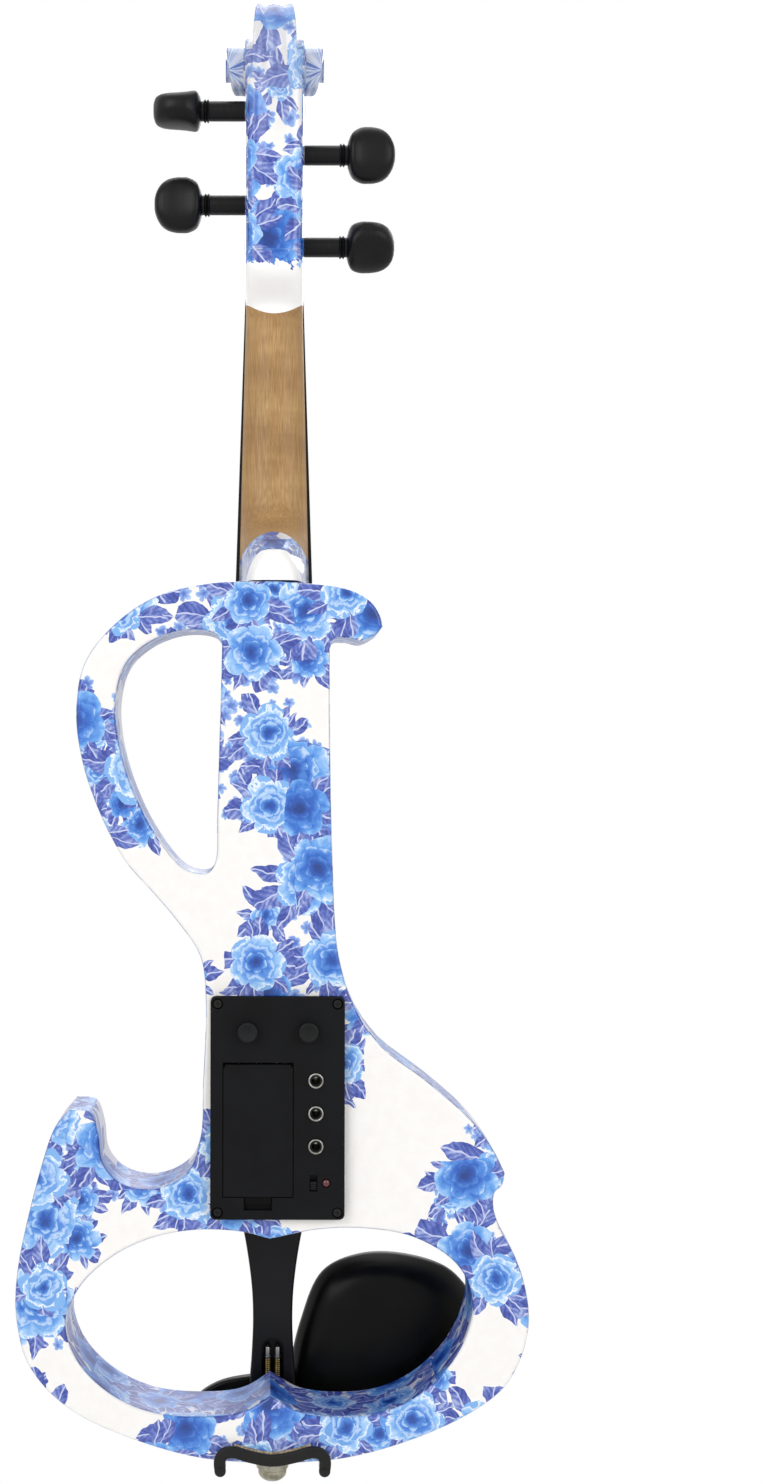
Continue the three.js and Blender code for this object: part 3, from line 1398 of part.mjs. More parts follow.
// Panel screws, one in each corner
const screwInset = 2.9;
const panelScrewR = 1;
const panelScrewHeadR = 1.9;
const panelScrewHeadHigh = 1.4;
const panelScrewLong = 12;
const corners = [
  ["upper_left", px0, pz1], ["upper_right", px1, pz1], ["lower_left", px0, pz0], ["lower_right", px1, pz0],
];
for (const [place, cx, cz] of corners) {
  const x = cx < panelX ? cx + screwInset : cx - screwInset;
  const z = cz < panelZ ? cz + screwInset : cz - screwInset;
  const screwBody = (grow) =>
    turned(
      [
        [0, -grow], [panelScrewHeadR + grow, -grow], [panelScrewHeadR + grow, panelScrewHeadHigh],
        [panelScrewR + grow, panelScrewHeadHigh + grow], [panelScrewR + grow, panelScrewLong + grow],
        [0, panelScrewLong + grow],
      ],
      8,
    );
  const crossCut = [
    block(-panelScrewHeadR * 0.6, panelScrewHeadR * 0.6, -overrun, gap * 2, -gap / 2, gap / 2),
    block(-gap / 2, gap / 2, -overrun, gap * 2, -panelScrewHeadR * 0.6, panelScrewHeadR * 0.6),
  ];
  let screw = screwBody(0);
  for (const cut of crossCut) screw = screw.subtract(cut);
  const seat = panelFace + gap;
  piece("panel_screw_" + place, along(screw, "+y", x, seat, z), plastic);
  const bore = along(screwBody(gap).add(bar(panelScrewHeadR + gap, -overrun, gap, 8)), "+y", x, seat, z);
  panel = panel.subtract(bore);
  body = body.subtract(bore);
}
piece("control_panel", panel, plastic);

// Pickup on the bridge and its lead, through the body to the circuit board
const pickupR = 3.4;
const pickupThick = 1.4;
const pickupY = bodyThickness + gap + bridgeHeight * 0.32;
const pickupZ = bridgeZ - bridgeFoot / 2 - gap;
const pickup = bar(pickupR, 0, pickupThick, 14);
piece("bridge_pickup", along(pickup, "-z", 0, pickupY, pickupZ), brass);
const leadR = 0.6;
const leadHoleR = 1.6;
const leadHoleX = jackX;
const leadHoleZ = jackTopZ - jackStep / 2;
const leadY = bodyThickness + gap + leadR;
const leadFrontZ = pickupZ - pickupThick / 2;
const leadBend = 2;
const lead = [
  new THREE.Vector3(0, pickupY - pickupR - gap, leadFrontZ - leadR),
  new THREE.Vector3(0, leadY + leadBend, leadFrontZ - leadR),
  new THREE.Vector3(leadBend / 2, leadY + gap, leadFrontZ - leadBend),
  new THREE.Vector3(leadBend * 2, leadY, leadFrontZ - leadBend * 1.5),
  new THREE.Vector3(leadHoleX - leadBend * 1.5, leadY, leadHoleZ + leadBend / 2),
  new THREE.Vector3(leadHoleX - leadBend / 3, leadY - gap, leadHoleZ),
  new THREE.Vector3(leadHoleX, leadY - leadBend, leadHoleZ),
  new THREE.Vector3(leadHoleX, boardY + boardThin + gap, leadHoleZ),
];
piece("pickup_lead", tube(lead, leadR, 6), ebony);
body = body.subtract(
  along(
    bar(leadHoleR, 0, bodyThickness, 12), "+y",
    leadHoleX, cavityDeep - overrun, leadHoleZ,
  ),
);
piece("body", body, paint);

// The origin is the point where a hanger under the ears of the scroll holds the violin.
const hangZ = scrollZ - scrollTop * scrollRadiusShares[scrollRadiusShares.length - 1] - gap;
violin.position.set(0, -scrollY, -hangZ);

export default violin;
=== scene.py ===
"""An open-frame electric violin, seen from its back, hung upright over a pale floor."""

import json
import math

import bmesh
import bpy
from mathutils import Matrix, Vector


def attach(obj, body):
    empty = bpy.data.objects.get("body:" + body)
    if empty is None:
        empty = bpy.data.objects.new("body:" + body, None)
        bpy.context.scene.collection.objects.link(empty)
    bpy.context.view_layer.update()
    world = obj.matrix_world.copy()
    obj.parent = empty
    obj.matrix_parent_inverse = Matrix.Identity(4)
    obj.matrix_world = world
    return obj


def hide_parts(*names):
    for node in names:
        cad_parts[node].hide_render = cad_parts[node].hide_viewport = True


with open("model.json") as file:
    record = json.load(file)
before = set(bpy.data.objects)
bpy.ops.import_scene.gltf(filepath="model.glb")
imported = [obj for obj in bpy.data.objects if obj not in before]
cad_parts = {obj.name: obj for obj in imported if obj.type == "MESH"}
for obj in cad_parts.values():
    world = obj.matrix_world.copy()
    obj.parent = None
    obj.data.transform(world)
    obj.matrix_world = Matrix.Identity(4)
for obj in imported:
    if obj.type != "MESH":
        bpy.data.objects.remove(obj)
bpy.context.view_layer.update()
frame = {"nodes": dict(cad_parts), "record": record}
nodes = frame["nodes"]

# Millimetres from the body's bottom edge and back face to the hanging point under the scroll
HANG_Y = 12.0
HANG_Z = 557.79
GAP = 0.3
# The control box's plate lies on the body's back face
PANEL_BACK = -GAP
PANEL_FACE = PANEL_BACK - 4.0


def at(x, y, z):
    """A place given in millimetres from the body's bottom edge and back face, in the frame's metres."""
    return Vector((x, y - HANG_Y, z - HANG_Z)) / 1000


# ---------------------------------------------------------------- modelling, as by hand


def take(*pieces):
    """Selects these pieces alone, the first of them active, in object mode."""
    if bpy.context.object and bpy.context.object.mode != "OBJECT":
        bpy.ops.object.mode_set(mode="OBJECT")
    bpy.ops.object.select_all(action="DESELECT")
    for piece in pieces:
        piece.select_set(True)
    if pieces:
        bpy.context.view_layer.objects.active = pieces[0]


def close_skin(piece):
    """Merges what lies in one place and turns all faces outwards."""
    take(piece)
    bpy.ops.object.mode_set(mode="EDIT")
    bpy.ops.mesh.select_all(action="SELECT")
    bpy.ops.mesh.remove_doubles(threshold=0.000002)
    bpy.ops.mesh.normals_make_consistent(inside=False)
    bpy.ops.object.mode_set(mode="OBJECT")


def drawn_out(rings, ring_shaped=False):
    """A skin drawn out from one circle: each ring is extruded from the last and moved to its place."""
    take()
    bpy.ops.mesh.primitive_circle_add(vertices=len(rings[0]), radius=0.01)
    piece = bpy.context.object
    bpy.ops.object.mode_set(mode="EDIT")
    form = bmesh.from_edit_mesh(piece.data)
    form.verts.ensure_lookup_table()
    first = line = list(range(len(rings[0])))
    if ring_shaped:
        rings = list(rings) + [rings[0]]
    for place, index in zip(rings[0], line):
        form.verts[index].co = place
    for ring in rings[1:]:
        before = len(form.verts)
        bpy.ops.mesh.extrude_edges_move()
        form = bmesh.from_edit_mesh(piece.data)
        form.verts.ensure_lookup_table()
        form.verts.index_update()
        following = []
        for index in line:
            old = form.verts[index]
            new = next(e.other_vert(old) for e in old.link_edges if e.other_vert(old).index >= before)
            following.append(new.index)
        for place, index in zip(ring, following):
            form.verts[index].co = place
        line = following
    if not ring_shaped:
        for end in (first, line):
            bpy.ops.mesh.select_all(action="DESELECT")
            form = bmesh.from_edit_mesh(piece.data)
            form.verts.ensure_lookup_table()
            for index in end:
                form.verts[index].select = True
            form.select_flush(True)
            bpy.ops.mesh.edge_face_add()
    close_skin(piece)
    return piece


AXES = {
    "+y": lambda a, d, b: (a, d, b),
    "-y": lambda a, d, b: (a, -d, -b),
    "+x": lambda a, d, b: (d, -a, b),
    "-x": lambda a, d, b: (-d, a, b),
    "+z": lambda a, d, b: (a, -b, d),
    "-z": lambda a, d, b: (a, b, -d),
}


def turned(profile, axis, x, y, z, sides=48, ring_shaped=False):
    """A piece turned on a lathe from [radius, distance] pairs, its axis pointing one way from a place."""
    rings = []
    for radius, distance in profile:
        ring = []
        for i in range(sides):
            a = math.tau * i / sides
            r = max(radius, 0.03)
            dx, dy, dz = AXES[axis](r * math.cos(a), distance, r * math.sin(a))
            ring.append(at(x + dx, y + dy, z + dz))
        rings.append(ring)
    return drawn_out(rings, ring_shaped)


def bar(radius, start, end, axis, x, y, z, sides=32):
    """A straight round bar between two distances along its axis."""
    return turned([(radius, start), (radius, end)], axis, x, y, z, sides)


def plate(outlines, y0, y1, rounding=0.0, fineness=3):
    """A plate cut to [x, z] outlines, holes included, from its back face to its front, with rounded edges."""
    take()
    curve = bpy.data.curves.new("outline", "CURVE")
    curve.dimensions = "2D"
    curve.fill_mode = "BOTH"
    for outline in outlines:
        line = curve.splines.new("POLY")
        line.points.add(len(outline) - 1)
        for point, (x, z) in zip(line.points, outline):
            point.co = (x / 1000, (z - HANG_Z) / 1000, 0, 1)
        line.use_cyclic_u = True
    curve.extrude = ((y1 - y0) / 2 - rounding) / 1000
    curve.bevel_depth = rounding / 1000
    curve.offset = -rounding / 1000
    curve.bevel_resolution = fineness
    piece = bpy.data.objects.new("outline", curve)
    bpy.context.collection.objects.link(piece)
    take(piece)
    piece.rotation_euler = (math.pi / 2, 0, 0)
    piece.location = (0, ((y0 + y1) / 2 - HANG_Y) / 1000, 0)
    bpy.ops.object.convert(target="MESH")
    piece = bpy.context.object
    bpy.ops.object.transform_apply(location=True, rotation=True, scale=True)
    close_skin(piece)
    return piece


def block(x0, x1, y0, y1, z0, z1, soften=0.0, steps=2):
    """A block between two corners, with its edges softened."""
    take()
    low, high = at(x0, y0, z0), at(x1, y1, z1)
    bpy.ops.mesh.primitive_cube_add(size=1, location=(low + high) / 2)
    piece = bpy.context.object
    piece.scale = [abs(b - a) for a, b in zip(low, high)]
    bpy.ops.object.transform_apply(location=True, rotation=True, scale=True)
    if soften:
        soften_edges(piece, soften, steps)
    return piece


def soften_edges(piece, width, steps=2, angle=40):
    """Rounds the sharp edges of a piece."""
    take(piece)
    bevel = piece.modifiers.new("soft_edges", "BEVEL")
    bevel.width = width / 1000
    bevel.segments = steps
    bevel.limit_method = "ANGLE"
    bevel.angle_limit = math.radians(angle)
    bpy.ops.object.modifier_apply(modifier=bevel.name)


def cut(piece, *tools, operation="DIFFERENCE", solver="EXACT"):
    """Cuts tools out of a piece, or joins them into its skin, and clears them away."""
    for tool in tools:
        take(piece)
        change = piece.modifiers.new("shaping", "BOOLEAN")
        change.operation = operation
        change.solver = solver
        change.object = tool
        bpy.ops.object.modifier_apply(modifier=change.name)
        bpy.data.objects.remove(tool)
    return piece


def joined(*pieces):
    """Several closed forms as one piece."""
    take(*pieces)
    bpy.ops.object.join()
    return bpy.context.object


def done(piece, name, finish, body, slot, *stands_for, angle=32, flat_faces=False):
    """Smooths a finished piece, names it, gives it its finish and says what it rides on and stands for."""
    take(piece)
    bpy.ops.object.shade_smooth_by_angle(angle=math.radians(angle))
    if flat_faces:
        even = piece.modifiers.new("even_faces", "WEIGHTED_NORMAL")
        even.keep_sharp = True
        bpy.ops.object.modifier_apply(modifier=even.name)
    piece.name = name
    piece.data.name = name
    piece.data.materials.clear()
    piece.data.materials.append(finish)
    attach(piece, body)
    if stands_for:
        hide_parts(*stands_for)
    return piece


def mix(a, b, share):
    return a + (b - a) * share


def spline(points, steps, ring=False):
    """A smooth run through points of any size, as a flexible lath bends, with even steps per stretch."""
    count = len(points)
    stretches = count if ring else count - 1

    def point(i):
        if ring:
            return points[i % count]
        if i < 0:
            return tuple(2 * a - b for a, b in zip(points[0], points[1]))
        if i >= count:
            return tuple(2 * a - b for a, b in zip(points[-1], points[-2]))
        return points[i]

    result = []
    for step in range(steps + (0 if ring else 1)):
        place = stretches * step / steps
        i = min(int(place), stretches - 1)
        share = place - i
        p = [point(i + k) for k in (-1, 0, 1, 2)]
        spans = [max(math.dist(p[k], p[k + 1]) ** 0.5, 1e-6) for k in range(3)]
        value = []
        for c in range(len(p[0])):
            v = [q[c] for q in p]
            start = (
                (v[1] - v[0]) / spans[0] - (v[2] - v[0]) / (spans[0] + spans[1]) + (v[2] - v[1]) / spans[1]
            ) * spans[1]
            end = (
                (v[2] - v[1]) / spans[1] - (v[3] - v[1]) / (spans[1] + spans[2]) + (v[3] - v[2]) / spans[2]
            ) * spans[1]
            b = -3 * v[1] + 3 * v[2] - 2 * start - end
            a = 2 * v[1] - 2 * v[2] + start + end
            value.append(a * share**3 + b * share**2 + start * share + v[1])
        result.append(tuple(value))
    return result


def stations(rows, per_row):
    """Rows of a table with smooth values between them, which never pass their neighbours."""
    result = []
    for i in range(len(rows) - 1):
        for k in range(per_row):
            share = k / per_row
            row = []
            for c in range(len(rows[0])):
                before = rows[max(i - 1, 0)][c]
                a, b = rows[i][c], rows[i + 1][c]
                after = rows[min(i + 2, len(rows) - 1)][c]
                low, high = min(a, b), max(a, b)
                start, end = (b - before) / 2, (after - a) / 2
                value = (
                    (2 * share**3 - 3 * share**2 + 1) * a + (share**3 - 2 * share**2 + share) * start
                    + (-2 * share**3 + 3 * share**2) * b + (share**3 - share**2) * end
                )
                row.append(min(max(value, low), high))
            result.append(tuple(row))
    result.append(tuple(rows[-1]))
    return result


def linear(colour):
    """An sRGB hex colour as the linear values that the shader wants."""
    parts = [int(colour[i : i + 2], 16) / 255 for i in (1, 3, 5)]
    return tuple(c / 12.92 if c <= 0.04045 else ((c + 0.055) / 1.055) ** 2.4 for c in parts) + (1.0,)


def add(tree, kind, inputs=(), out=0, stops=(), **settings):
    """Adds a node with its settings and any colour stops, fills its inputs, by key or in order, with values
    or links, and gives one of its outputs."""
    made = tree.nodes.new("ShaderNode" + kind)
    for name, value in settings.items():
        setattr(made, name, value)
    for number, (place, colour) in enumerate(stops):
        if number >= len(made.color_ramp.elements):
            made.color_ramp.elements.new(place)
        made.color_ramp.elements[number].position = place
        made.color_ramp.elements[number].color = linear(colour)
    for key, value in inputs.items() if isinstance(inputs, dict) else enumerate(inputs):
        if isinstance(value, bpy.types.NodeSocket):
            tree.links.new(value, made.inputs[key])
        else:
            made.inputs[key].default_value = value
    return made.outputs[out]


def start_material(name, **constants):
    """A material with one Principled shader, whose whole-surface values are set on its own sockets."""
    material = bpy.data.materials.new(name)
    material.use_nodes = True
    tree = material.node_tree
    shader = tree.nodes["Principled BSDF"]
    for socket, value in constants.items():
        shader.inputs[socket.replace("_", " ")].default_value = value
    return material, tree, shader


# ---------------------------------------------------------------- camera, light and floor

# The camera stands about 0.8 m behind the violin, level with the top of its lower opening.
CAMERA_BACK = 790.0
CAMERA_UP = 280.6
bpy.ops.object.camera_add(location=at(0, -CAMERA_BACK, CAMERA_UP), rotation=(math.radians(90), math.radians(-0.1), 0))
camera = bpy.context.object
camera.data.lens = 47.5
camera.data.sensor_width = 36
camera.data.shift_x = 0.0727
camera.data.shift_y = 0.0189
bpy.context.scene.camera = camera
bpy.context.scene.view_settings.view_transform = "Standard"

# Broad soft lamps: two behind the camera, one on the playing side, one overhead
for place, size, power in (
    ((-900, -1300, 900), 1.2, 11),
    ((1000, -1200, 700), 1.0, 7),
    ((200, 1400, 1100), 1.2, 13),
    ((0, 300, 1600), 1.0, 5),
):
    bpy.ops.object.light_add(type="AREA", location=at(*place))
    lamp = bpy.context.object
    lamp.data.shape = "DISK"
    lamp.data.size = size
    lamp.data.energy = power
    lamp.rotation_euler = (at(0, 0, 300) - lamp.location).to_track_quat("-Z", "Y").to_euler()

world = bpy.context.scene.world or bpy.data.worlds.new("studio")
bpy.context.scene.world = world
world.use_nodes = True
tree = world.node_tree
tree.nodes.clear()
rays = add(tree, "LightPath", out="Is Camera Ray")
mirrored = add(
    tree, "Math", {0: rays.node.outputs["Is Glossy Ray"], 1: rays.node.outputs["Is Transmission Ray"]},
    operation="MAXIMUM",
)
seen = add(tree, "Math", {0: rays, 1: mirrored}, operation="MAXIMUM")
strength = add(tree, "MapRange", {"Value": seen, "To Min": 0.5, "To Max": 1.0})
white_world = add(tree, "Background", {"Color": linear("#FFFFFF"), "Strength": strength})
world_out = tree.nodes.new("ShaderNodeOutputWorld")
tree.links.new(white_world, world_out.inputs["Surface"])

# Pale floor under the hanging violin: it keeps the shadow near the violin and is plain white further off
FLOOR_UP = -260.0
bpy.ops.mesh.primitive_circle_add(vertices=96, radius=7, fill_type="NGON", location=at(0, 0, FLOOR_UP))
floor = bpy.context.object
floor.name = "studio_floor"
material, tree, shader = start_material("pale_studio_floor", Roughness=0.9)
shader.inputs["Base Color"].default_value = linear("#F2F2F2")
spot = add(tree, "TexCoord", out="Object")
far = add(tree, "VectorMath", {0: spot}, out="Value", operation="LENGTH")
fade = add(tree, "MapRange", {"Value": far, "From Min": 0.3, "From Max": 0.62})
rays = add(tree, "LightPath", out="Is Camera Ray")
shown = add(tree, "Math", {0: rays, 1: rays.node.outputs["Is Glossy Ray"]}, operation="MAXIMUM")
cover = add(tree, "Math", {0: fade, 1: shown}, operation="MULTIPLY")
glow = add(tree, "Emission", {"Color": linear("#FFFFFF"), "Strength": 1.0})
both = add(tree, "MixShader", {0: cover, 1: shader.outputs[0], 2: glow})
tree.links.new(both, tree.nodes["Material Output"].inputs["Surface"])
floor.data.materials.append(material)


# ---------------------------------------------------------------- printed lacquer


def blossoms(tree, flat, shift, cell, reach, gather):
    """One scatter of flowers: their middles, and each point's distance and direction from the nearest."""
    moved = add(tree, "VectorMath", {0: flat, 1: shift}, operation="ADD")
    middle = add(
        tree, "TexVoronoi", {"Vector": moved, "Scale": 1 / cell, "Randomness": 0.75}, out="Position",
        voronoi_dimensions="2D",
    )
    local = add(tree, "VectorMath", {0: moved, 1: middle}, operation="SUBTRACT")
    chance = add(tree, "SeparateColor", {0: middle.node.outputs["Color"]})
    split = add(tree, "SeparateXYZ", {0: local})
    angle = add(tree, "Math", [split.node.outputs["Y"], split], operation="ARCTAN2")
    # all layers gather in the same groups, about 65 mm across, with white between them
    spot = add(tree, "VectorMath", {0: middle, 1: shift}, operation="SUBTRACT")
    grown = add(tree, "TexNoise", {"Vector": spot, "Scale": 1 / 65, "Detail": 0.0}, noise_dimensions="2D")
    # the sheet is fuller over the upper frame than over the lower body
    height = add(tree, "SeparateXYZ", [spot], out="Y")
    sparser = add(
        tree, "MapRange",
        {"Value": height, "From Min": 228 - HANG_Z, "From Max": 262 - HANG_Z, "To Min": 0.055, "To Max": -0.11},
    )
    grown = add(tree, "Math", [grown, sparser], operation="SUBTRACT")
    return {
        "direction": add(tree, "Math", [chance.node.outputs["Blue"], math.tau, angle], operation="MULTIPLY_ADD"),
        "radius": add(tree, "VectorMath", {0: local}, out="Value", operation="LENGTH"),
        "size": add(tree, "Math", [chance.node.outputs["Green"], 0.4 * reach, 0.6 * reach], operation="MULTIPLY_ADD"),
        "kept": add(tree, "Math", [grown, gather], operation="GREATER_THAN"),
        "pale": add(tree, "Math", [chance, 0.56, -0.33], operation="MULTIPLY_ADD"),
    }


def petal_ring(tree, bloom, share, phase, petals, depth):
    """A ring of rounded petals: where it is, how far out each point lies, and how far from a crease."""
    wave = add(tree, "Math", [bloom["direction"], petals / 2, phase], operation="MULTIPLY_ADD")
    lobes = add(tree, "Math", [add(tree, "Math", [wave], operation="SINE")], operation="ABSOLUTE")
    rounded = add(tree, "Math", [lobes, 0.5], operation="POWER")
    edge = add(tree, "Math", [rounded, depth * share, (1 - depth) * share], operation="MULTIPLY_ADD")
    out = add(
        tree, "Math", [bloom["radius"], add(tree, "Math", [edge, bloom["size"]], operation="MULTIPLY")],
        operation="DIVIDE",
    )
    inside = add(tree, "Math", [out, 1.0], operation="LESS_THAN")
    return add(tree, "Math", [inside, bloom["kept"]], operation="MULTIPLY"), out, rounded


def leaf_fan(tree, bloom, count, start, long, wide, phase):
    """Pointed leaves fanned round a flower: where they are, and the run along and across each."""
    sector = math.tau / count
    place = add(tree, "Math", [bloom["direction"], 1 / sector, phase], operation="MULTIPLY_ADD")
    angle = add(
        tree, "Math",
        [add(tree, "Math", [add(tree, "Math", [place], operation="FRACT"), 0.5], operation="SUBTRACT"), sector],
        operation="MULTIPLY",
    )
    along = add(tree, "Math", [bloom["radius"], add(tree, "Math", [angle], operation="COSINE")], operation="MULTIPLY")
    across = add(tree, "Math", [bloom["radius"], add(tree, "Math", [angle], operation="SINE")], operation="MULTIPLY")
    run = add(tree, "MapRange", {"Value": along, "From Min": start, "From Max": start + long})
    swell = add(
        tree, "Math",
        [add(tree, "Math", [add(tree, "Math", [run, math.pi], operation="MULTIPLY")], operation="SINE"), wide],
        operation="MULTIPLY",
    )
    offset = add(tree, "Math", [across], operation="ABSOLUTE")
    inside = add(tree, "Math", [offset, swell], operation="LESS_THAN")
    return add(tree, "Math", [inside, bloom["kept"]], operation="MULTIPLY"), along, across, offset


WHITE_PAINT = "#F7F5F2"
SPRIGS = (
    # shift, cell, reach and gathering of small flowers, in millimetres
    ((31.0, 77.0, 0), 12.0, 4.4, 0.45),
    ((-12.0, 18.0, 0), 9.0, 3.0, 0.46),
)
GROUPS = (
    # shift, cell, reach, gathering, petals and turn of the big flowers
    ((63.0, -20.0, 0), 24.0, 9.5, 0.435, 7, 0.7),
    ((5.0, 9.0, 0), 36.0, 17.5, 0.425, 6, 0.3),
    ((-40.0, 61.0, 0), 31.0, 13.5, 0.47, 5, 1.1),
)
BLUES = (
    # share of the flower, turn, depth of the lobes and paints of each ring of petals
    (
        1.0, 0.0, 0.32,
        [
            (0.0, "#2455B4"), (0.36, "#3473CE"), (0.62, "#66A2E8"), (0.86, "#A9CFF6"), (0.97, "#F2F7FD"),
            (1.0, "#7FB2EC"),
        ],
    ),
    (0.68, 0.8, 0.3, [(0.0, "#1D479F"), (0.4, "#2B66C4"), (0.7, "#5590E0"), (0.9, "#BFDAF8"), (1.0, "#6CA2E4")]),
    (0.38, 0.3, 0.28, [(0.0, "#183B87"), (0.5, "#2457B4"), (0.85, "#4F8AD8"), (1.0, "#A8CBF4")]),
)
LEAVES = [(0.3, "#35459A"), (0.5, "#4B5DB0"), (0.68, "#6B7CC4"), (0.88, "#A3B0DE")]


def flower_print(tree):
    """Blue flowers and slate-violet leaves in loose groups on white, as a watercolour transfer under lacquer."""
    spot = add(tree, "TexCoord", out="Object")
    place = add(tree, "VectorMath", {0: spot, "Scale": 1000.0}, operation="SCALE")
    split = add(tree, "SeparateXYZ", {0: place})
    deep, up = split.node.outputs["Y"], split.node.outputs["Z"]
    # The film is laid on from the back and the front, and wraps round the edges on to the sides.
    normal = add(tree, "VectorMath", {0: add(tree, "NewGeometry", out="Normal")}, operation="ABSOLUTE")
    facing = add(tree, "SeparateXYZ", {0: normal})
    edge = add(tree, "Math", [facing.node.outputs["Y"], 0.5], operation="LESS_THAN")
    upright = add(tree, "Math", [facing, facing.node.outputs["Z"]], operation="GREATER_THAN")
    side_wall = add(tree, "Math", [edge, upright], operation="MULTIPLY")
    end_wall = add(tree, "Math", [edge, side_wall], operation="SUBTRACT")
    wide = add(tree, "Mix", {0: side_wall, 2: split, 3: add(tree, "Math", [deep, 7.0], operation="ADD")})
    high = add(tree, "Mix", {0: end_wall, 2: up, 3: add(tree, "Math", [deep, 31.0], operation="ADD")})
    flat = add(tree, "CombineXYZ", {0: wide, 1: high})
    # Brush wobble of about 1.5 mm
    wobble = add(tree, "TexNoise", {"Vector": flat, "Scale": 1 / 8, "Detail": 2.0}, out="Color", noise_dimensions="2D")
    swing = add(tree, "VectorMath", {0: wobble, 1: (0.5, 0.5, 0.5)}, operation="SUBTRACT")
    flat = add(
        tree, "VectorMath", {0: add(tree, "VectorMath", {0: swing, "Scale": 3.6}, operation="SCALE"), 1: flat},
        operation="ADD",
    )
    wash = add(
        tree, "TexNoise", {"Vector": flat, "Scale": 1 / 5, "Detail": 4.0, "Roughness": 0.6}, noise_dimensions="2D",
    )
    paper = add(tree, "ValToRGB", [wash], stops=[(0.3, "#F4F1EE"), (0.6, WHITE_PAINT)])
    colour = paper
    for shift, cell, reach, gather in SPRIGS:
        bloom = blossoms(tree, flat, shift, cell, reach, gather)
        mask, out, rounded = petal_ring(tree, bloom, 1.0, 0.0, 5, 0.5)
        tone = add(
            tree, "Math", [wash, 0.5, add(tree, "Math", [out, 0.45], operation="MULTIPLY")], operation="MULTIPLY_ADD",
        )
        paint = add(
            tree, "ValToRGB", [tone], stops=[(0.05, "#4454AC"), (0.35, "#5674C8"), (0.6, "#8DAFE8"), (0.85, "#C9DDF6")],
        )
        colour = add(tree, "Mix", {0: mask, 6: colour, 7: paint}, out=2, data_type="RGBA")
    for shift, cell, reach, gather, petals, turn in GROUPS:
        bloom = blossoms(tree, flat, shift, cell, reach, gather)
        for count, start, long, wide_share, phase in ((4, 0.4, 1.15, 0.27, turn), (5, 0.35, 0.95, 0.2, turn + 0.45)):
            mask, along, across, offset = leaf_fan(
                tree, bloom, count, reach * start, reach * long, reach * wide_share, phase,
            )
            # veins about 3 mm apart, slanting from the midrib
            veins = add(
                tree, "Math", [along, 2.1, add(tree, "Math", [offset, -2.6], operation="MULTIPLY")],
                operation="MULTIPLY_ADD",
            )
            ribs = add(
                tree, "Math", [add(tree, "Math", [veins], operation="SINE"), 0.1, wash], operation="MULTIPLY_ADD",
            )
            shaded = add(
                tree, "Math", [add(tree, "Math", [across, 0.0], operation="GREATER_THAN"), 0.16, ribs],
                operation="MULTIPLY_ADD",
            )
            paint = add(tree, "ValToRGB", [shaded], stops=LEAVES)
            midrib = add(tree, "Math", [offset, 0.28], operation="LESS_THAN")
            colour = add(
                tree, "Mix",
                {
                    0: mask, 6: colour,
                    7: add(tree, "Mix", {0: midrib, 6: paint, 7: linear("#C5CCEC")}, out=2, data_type="RGBA"),
                },
                out=2, data_type="RGBA",
            )
        for share, phase, depth, paints in BLUES:
            mask, out, rounded = petal_ring(tree, bloom, share, phase, petals, depth)
            crease = add(tree, "Math", [rounded, 0.3, -0.3], operation="MULTIPLY_ADD")
            streak = add(tree, "Math", [wash, 0.9, -0.45], operation="MULTIPLY_ADD")
            tone = add(
                tree, "Math",
                [
                    add(tree, "Math", [out, crease], operation="ADD"),
                    add(tree, "Math", [streak, bloom["pale"]], operation="ADD"),
                ],
                operation="ADD",
            )
            colour = add(
                tree, "Mix", {0: mask, 6: colour, 7: add(tree, "ValToRGB", [tone], stops=paints)}, out=2,
                data_type="RGBA",
            )
    return colour, split, wash


def print_lacquer():
    """Polyester lacquer over a printed film: crisp mirror-like glints over softly shaded blue flowers."""
    material, tree, shader = start_material(
        "printed_gloss_lacquer", Roughness=0.3, Specular_IOR_Level=0.28, Coat_Roughness=0.04, IOR=1.5,
    )
    colour, split, wash = flower_print(tree)
    normal = add(tree, "NewGeometry", out="Normal")
    facing = add(tree, "Math", [add(tree, "SeparateXYZ", {0: normal}, out="Y")], operation="ABSOLUTE")
    side = add(tree, "MapRange", {"Value": facing, "From Min": 0.25, "From Max": 0.8, "To Min": 1.0, "To Max": 0.0})
    # the gun lays less lacquer on the walls of the openings, so they mirror less
    thick = add(tree, "MapRange", {"Value": facing, "From Min": 0.25, "From Max": 0.8, "To Min": 0.08, "To Max": 0.6})
    tree.links.new(thick, shader.inputs["Coat Weight"])
    # on the walls of the openings the colour is multiplied towards grey-lilac: painted shade on the walls
    tree.links.new(
        add(tree, "Mix", {0: side, 6: colour, 7: linear("#D0D3E0")}, out=2, data_type="RGBA", blend_type="MULTIPLY"),
        shader.inputs["Base Color"],
    )
    # The lacquer's slow waves, about 12 mm long and a few hundredths deep
    waves = add(tree, "TexNoise", {"Vector": add(tree, "TexCoord", out="Object"), "Scale": 80.0, "Detail": 1.0})
    bump = add(tree, "Bump", {"Strength": 0.05, "Distance": 0.0004, "Height": waves})
    tree.links.new(bump, shader.inputs["Normal"])
    return material


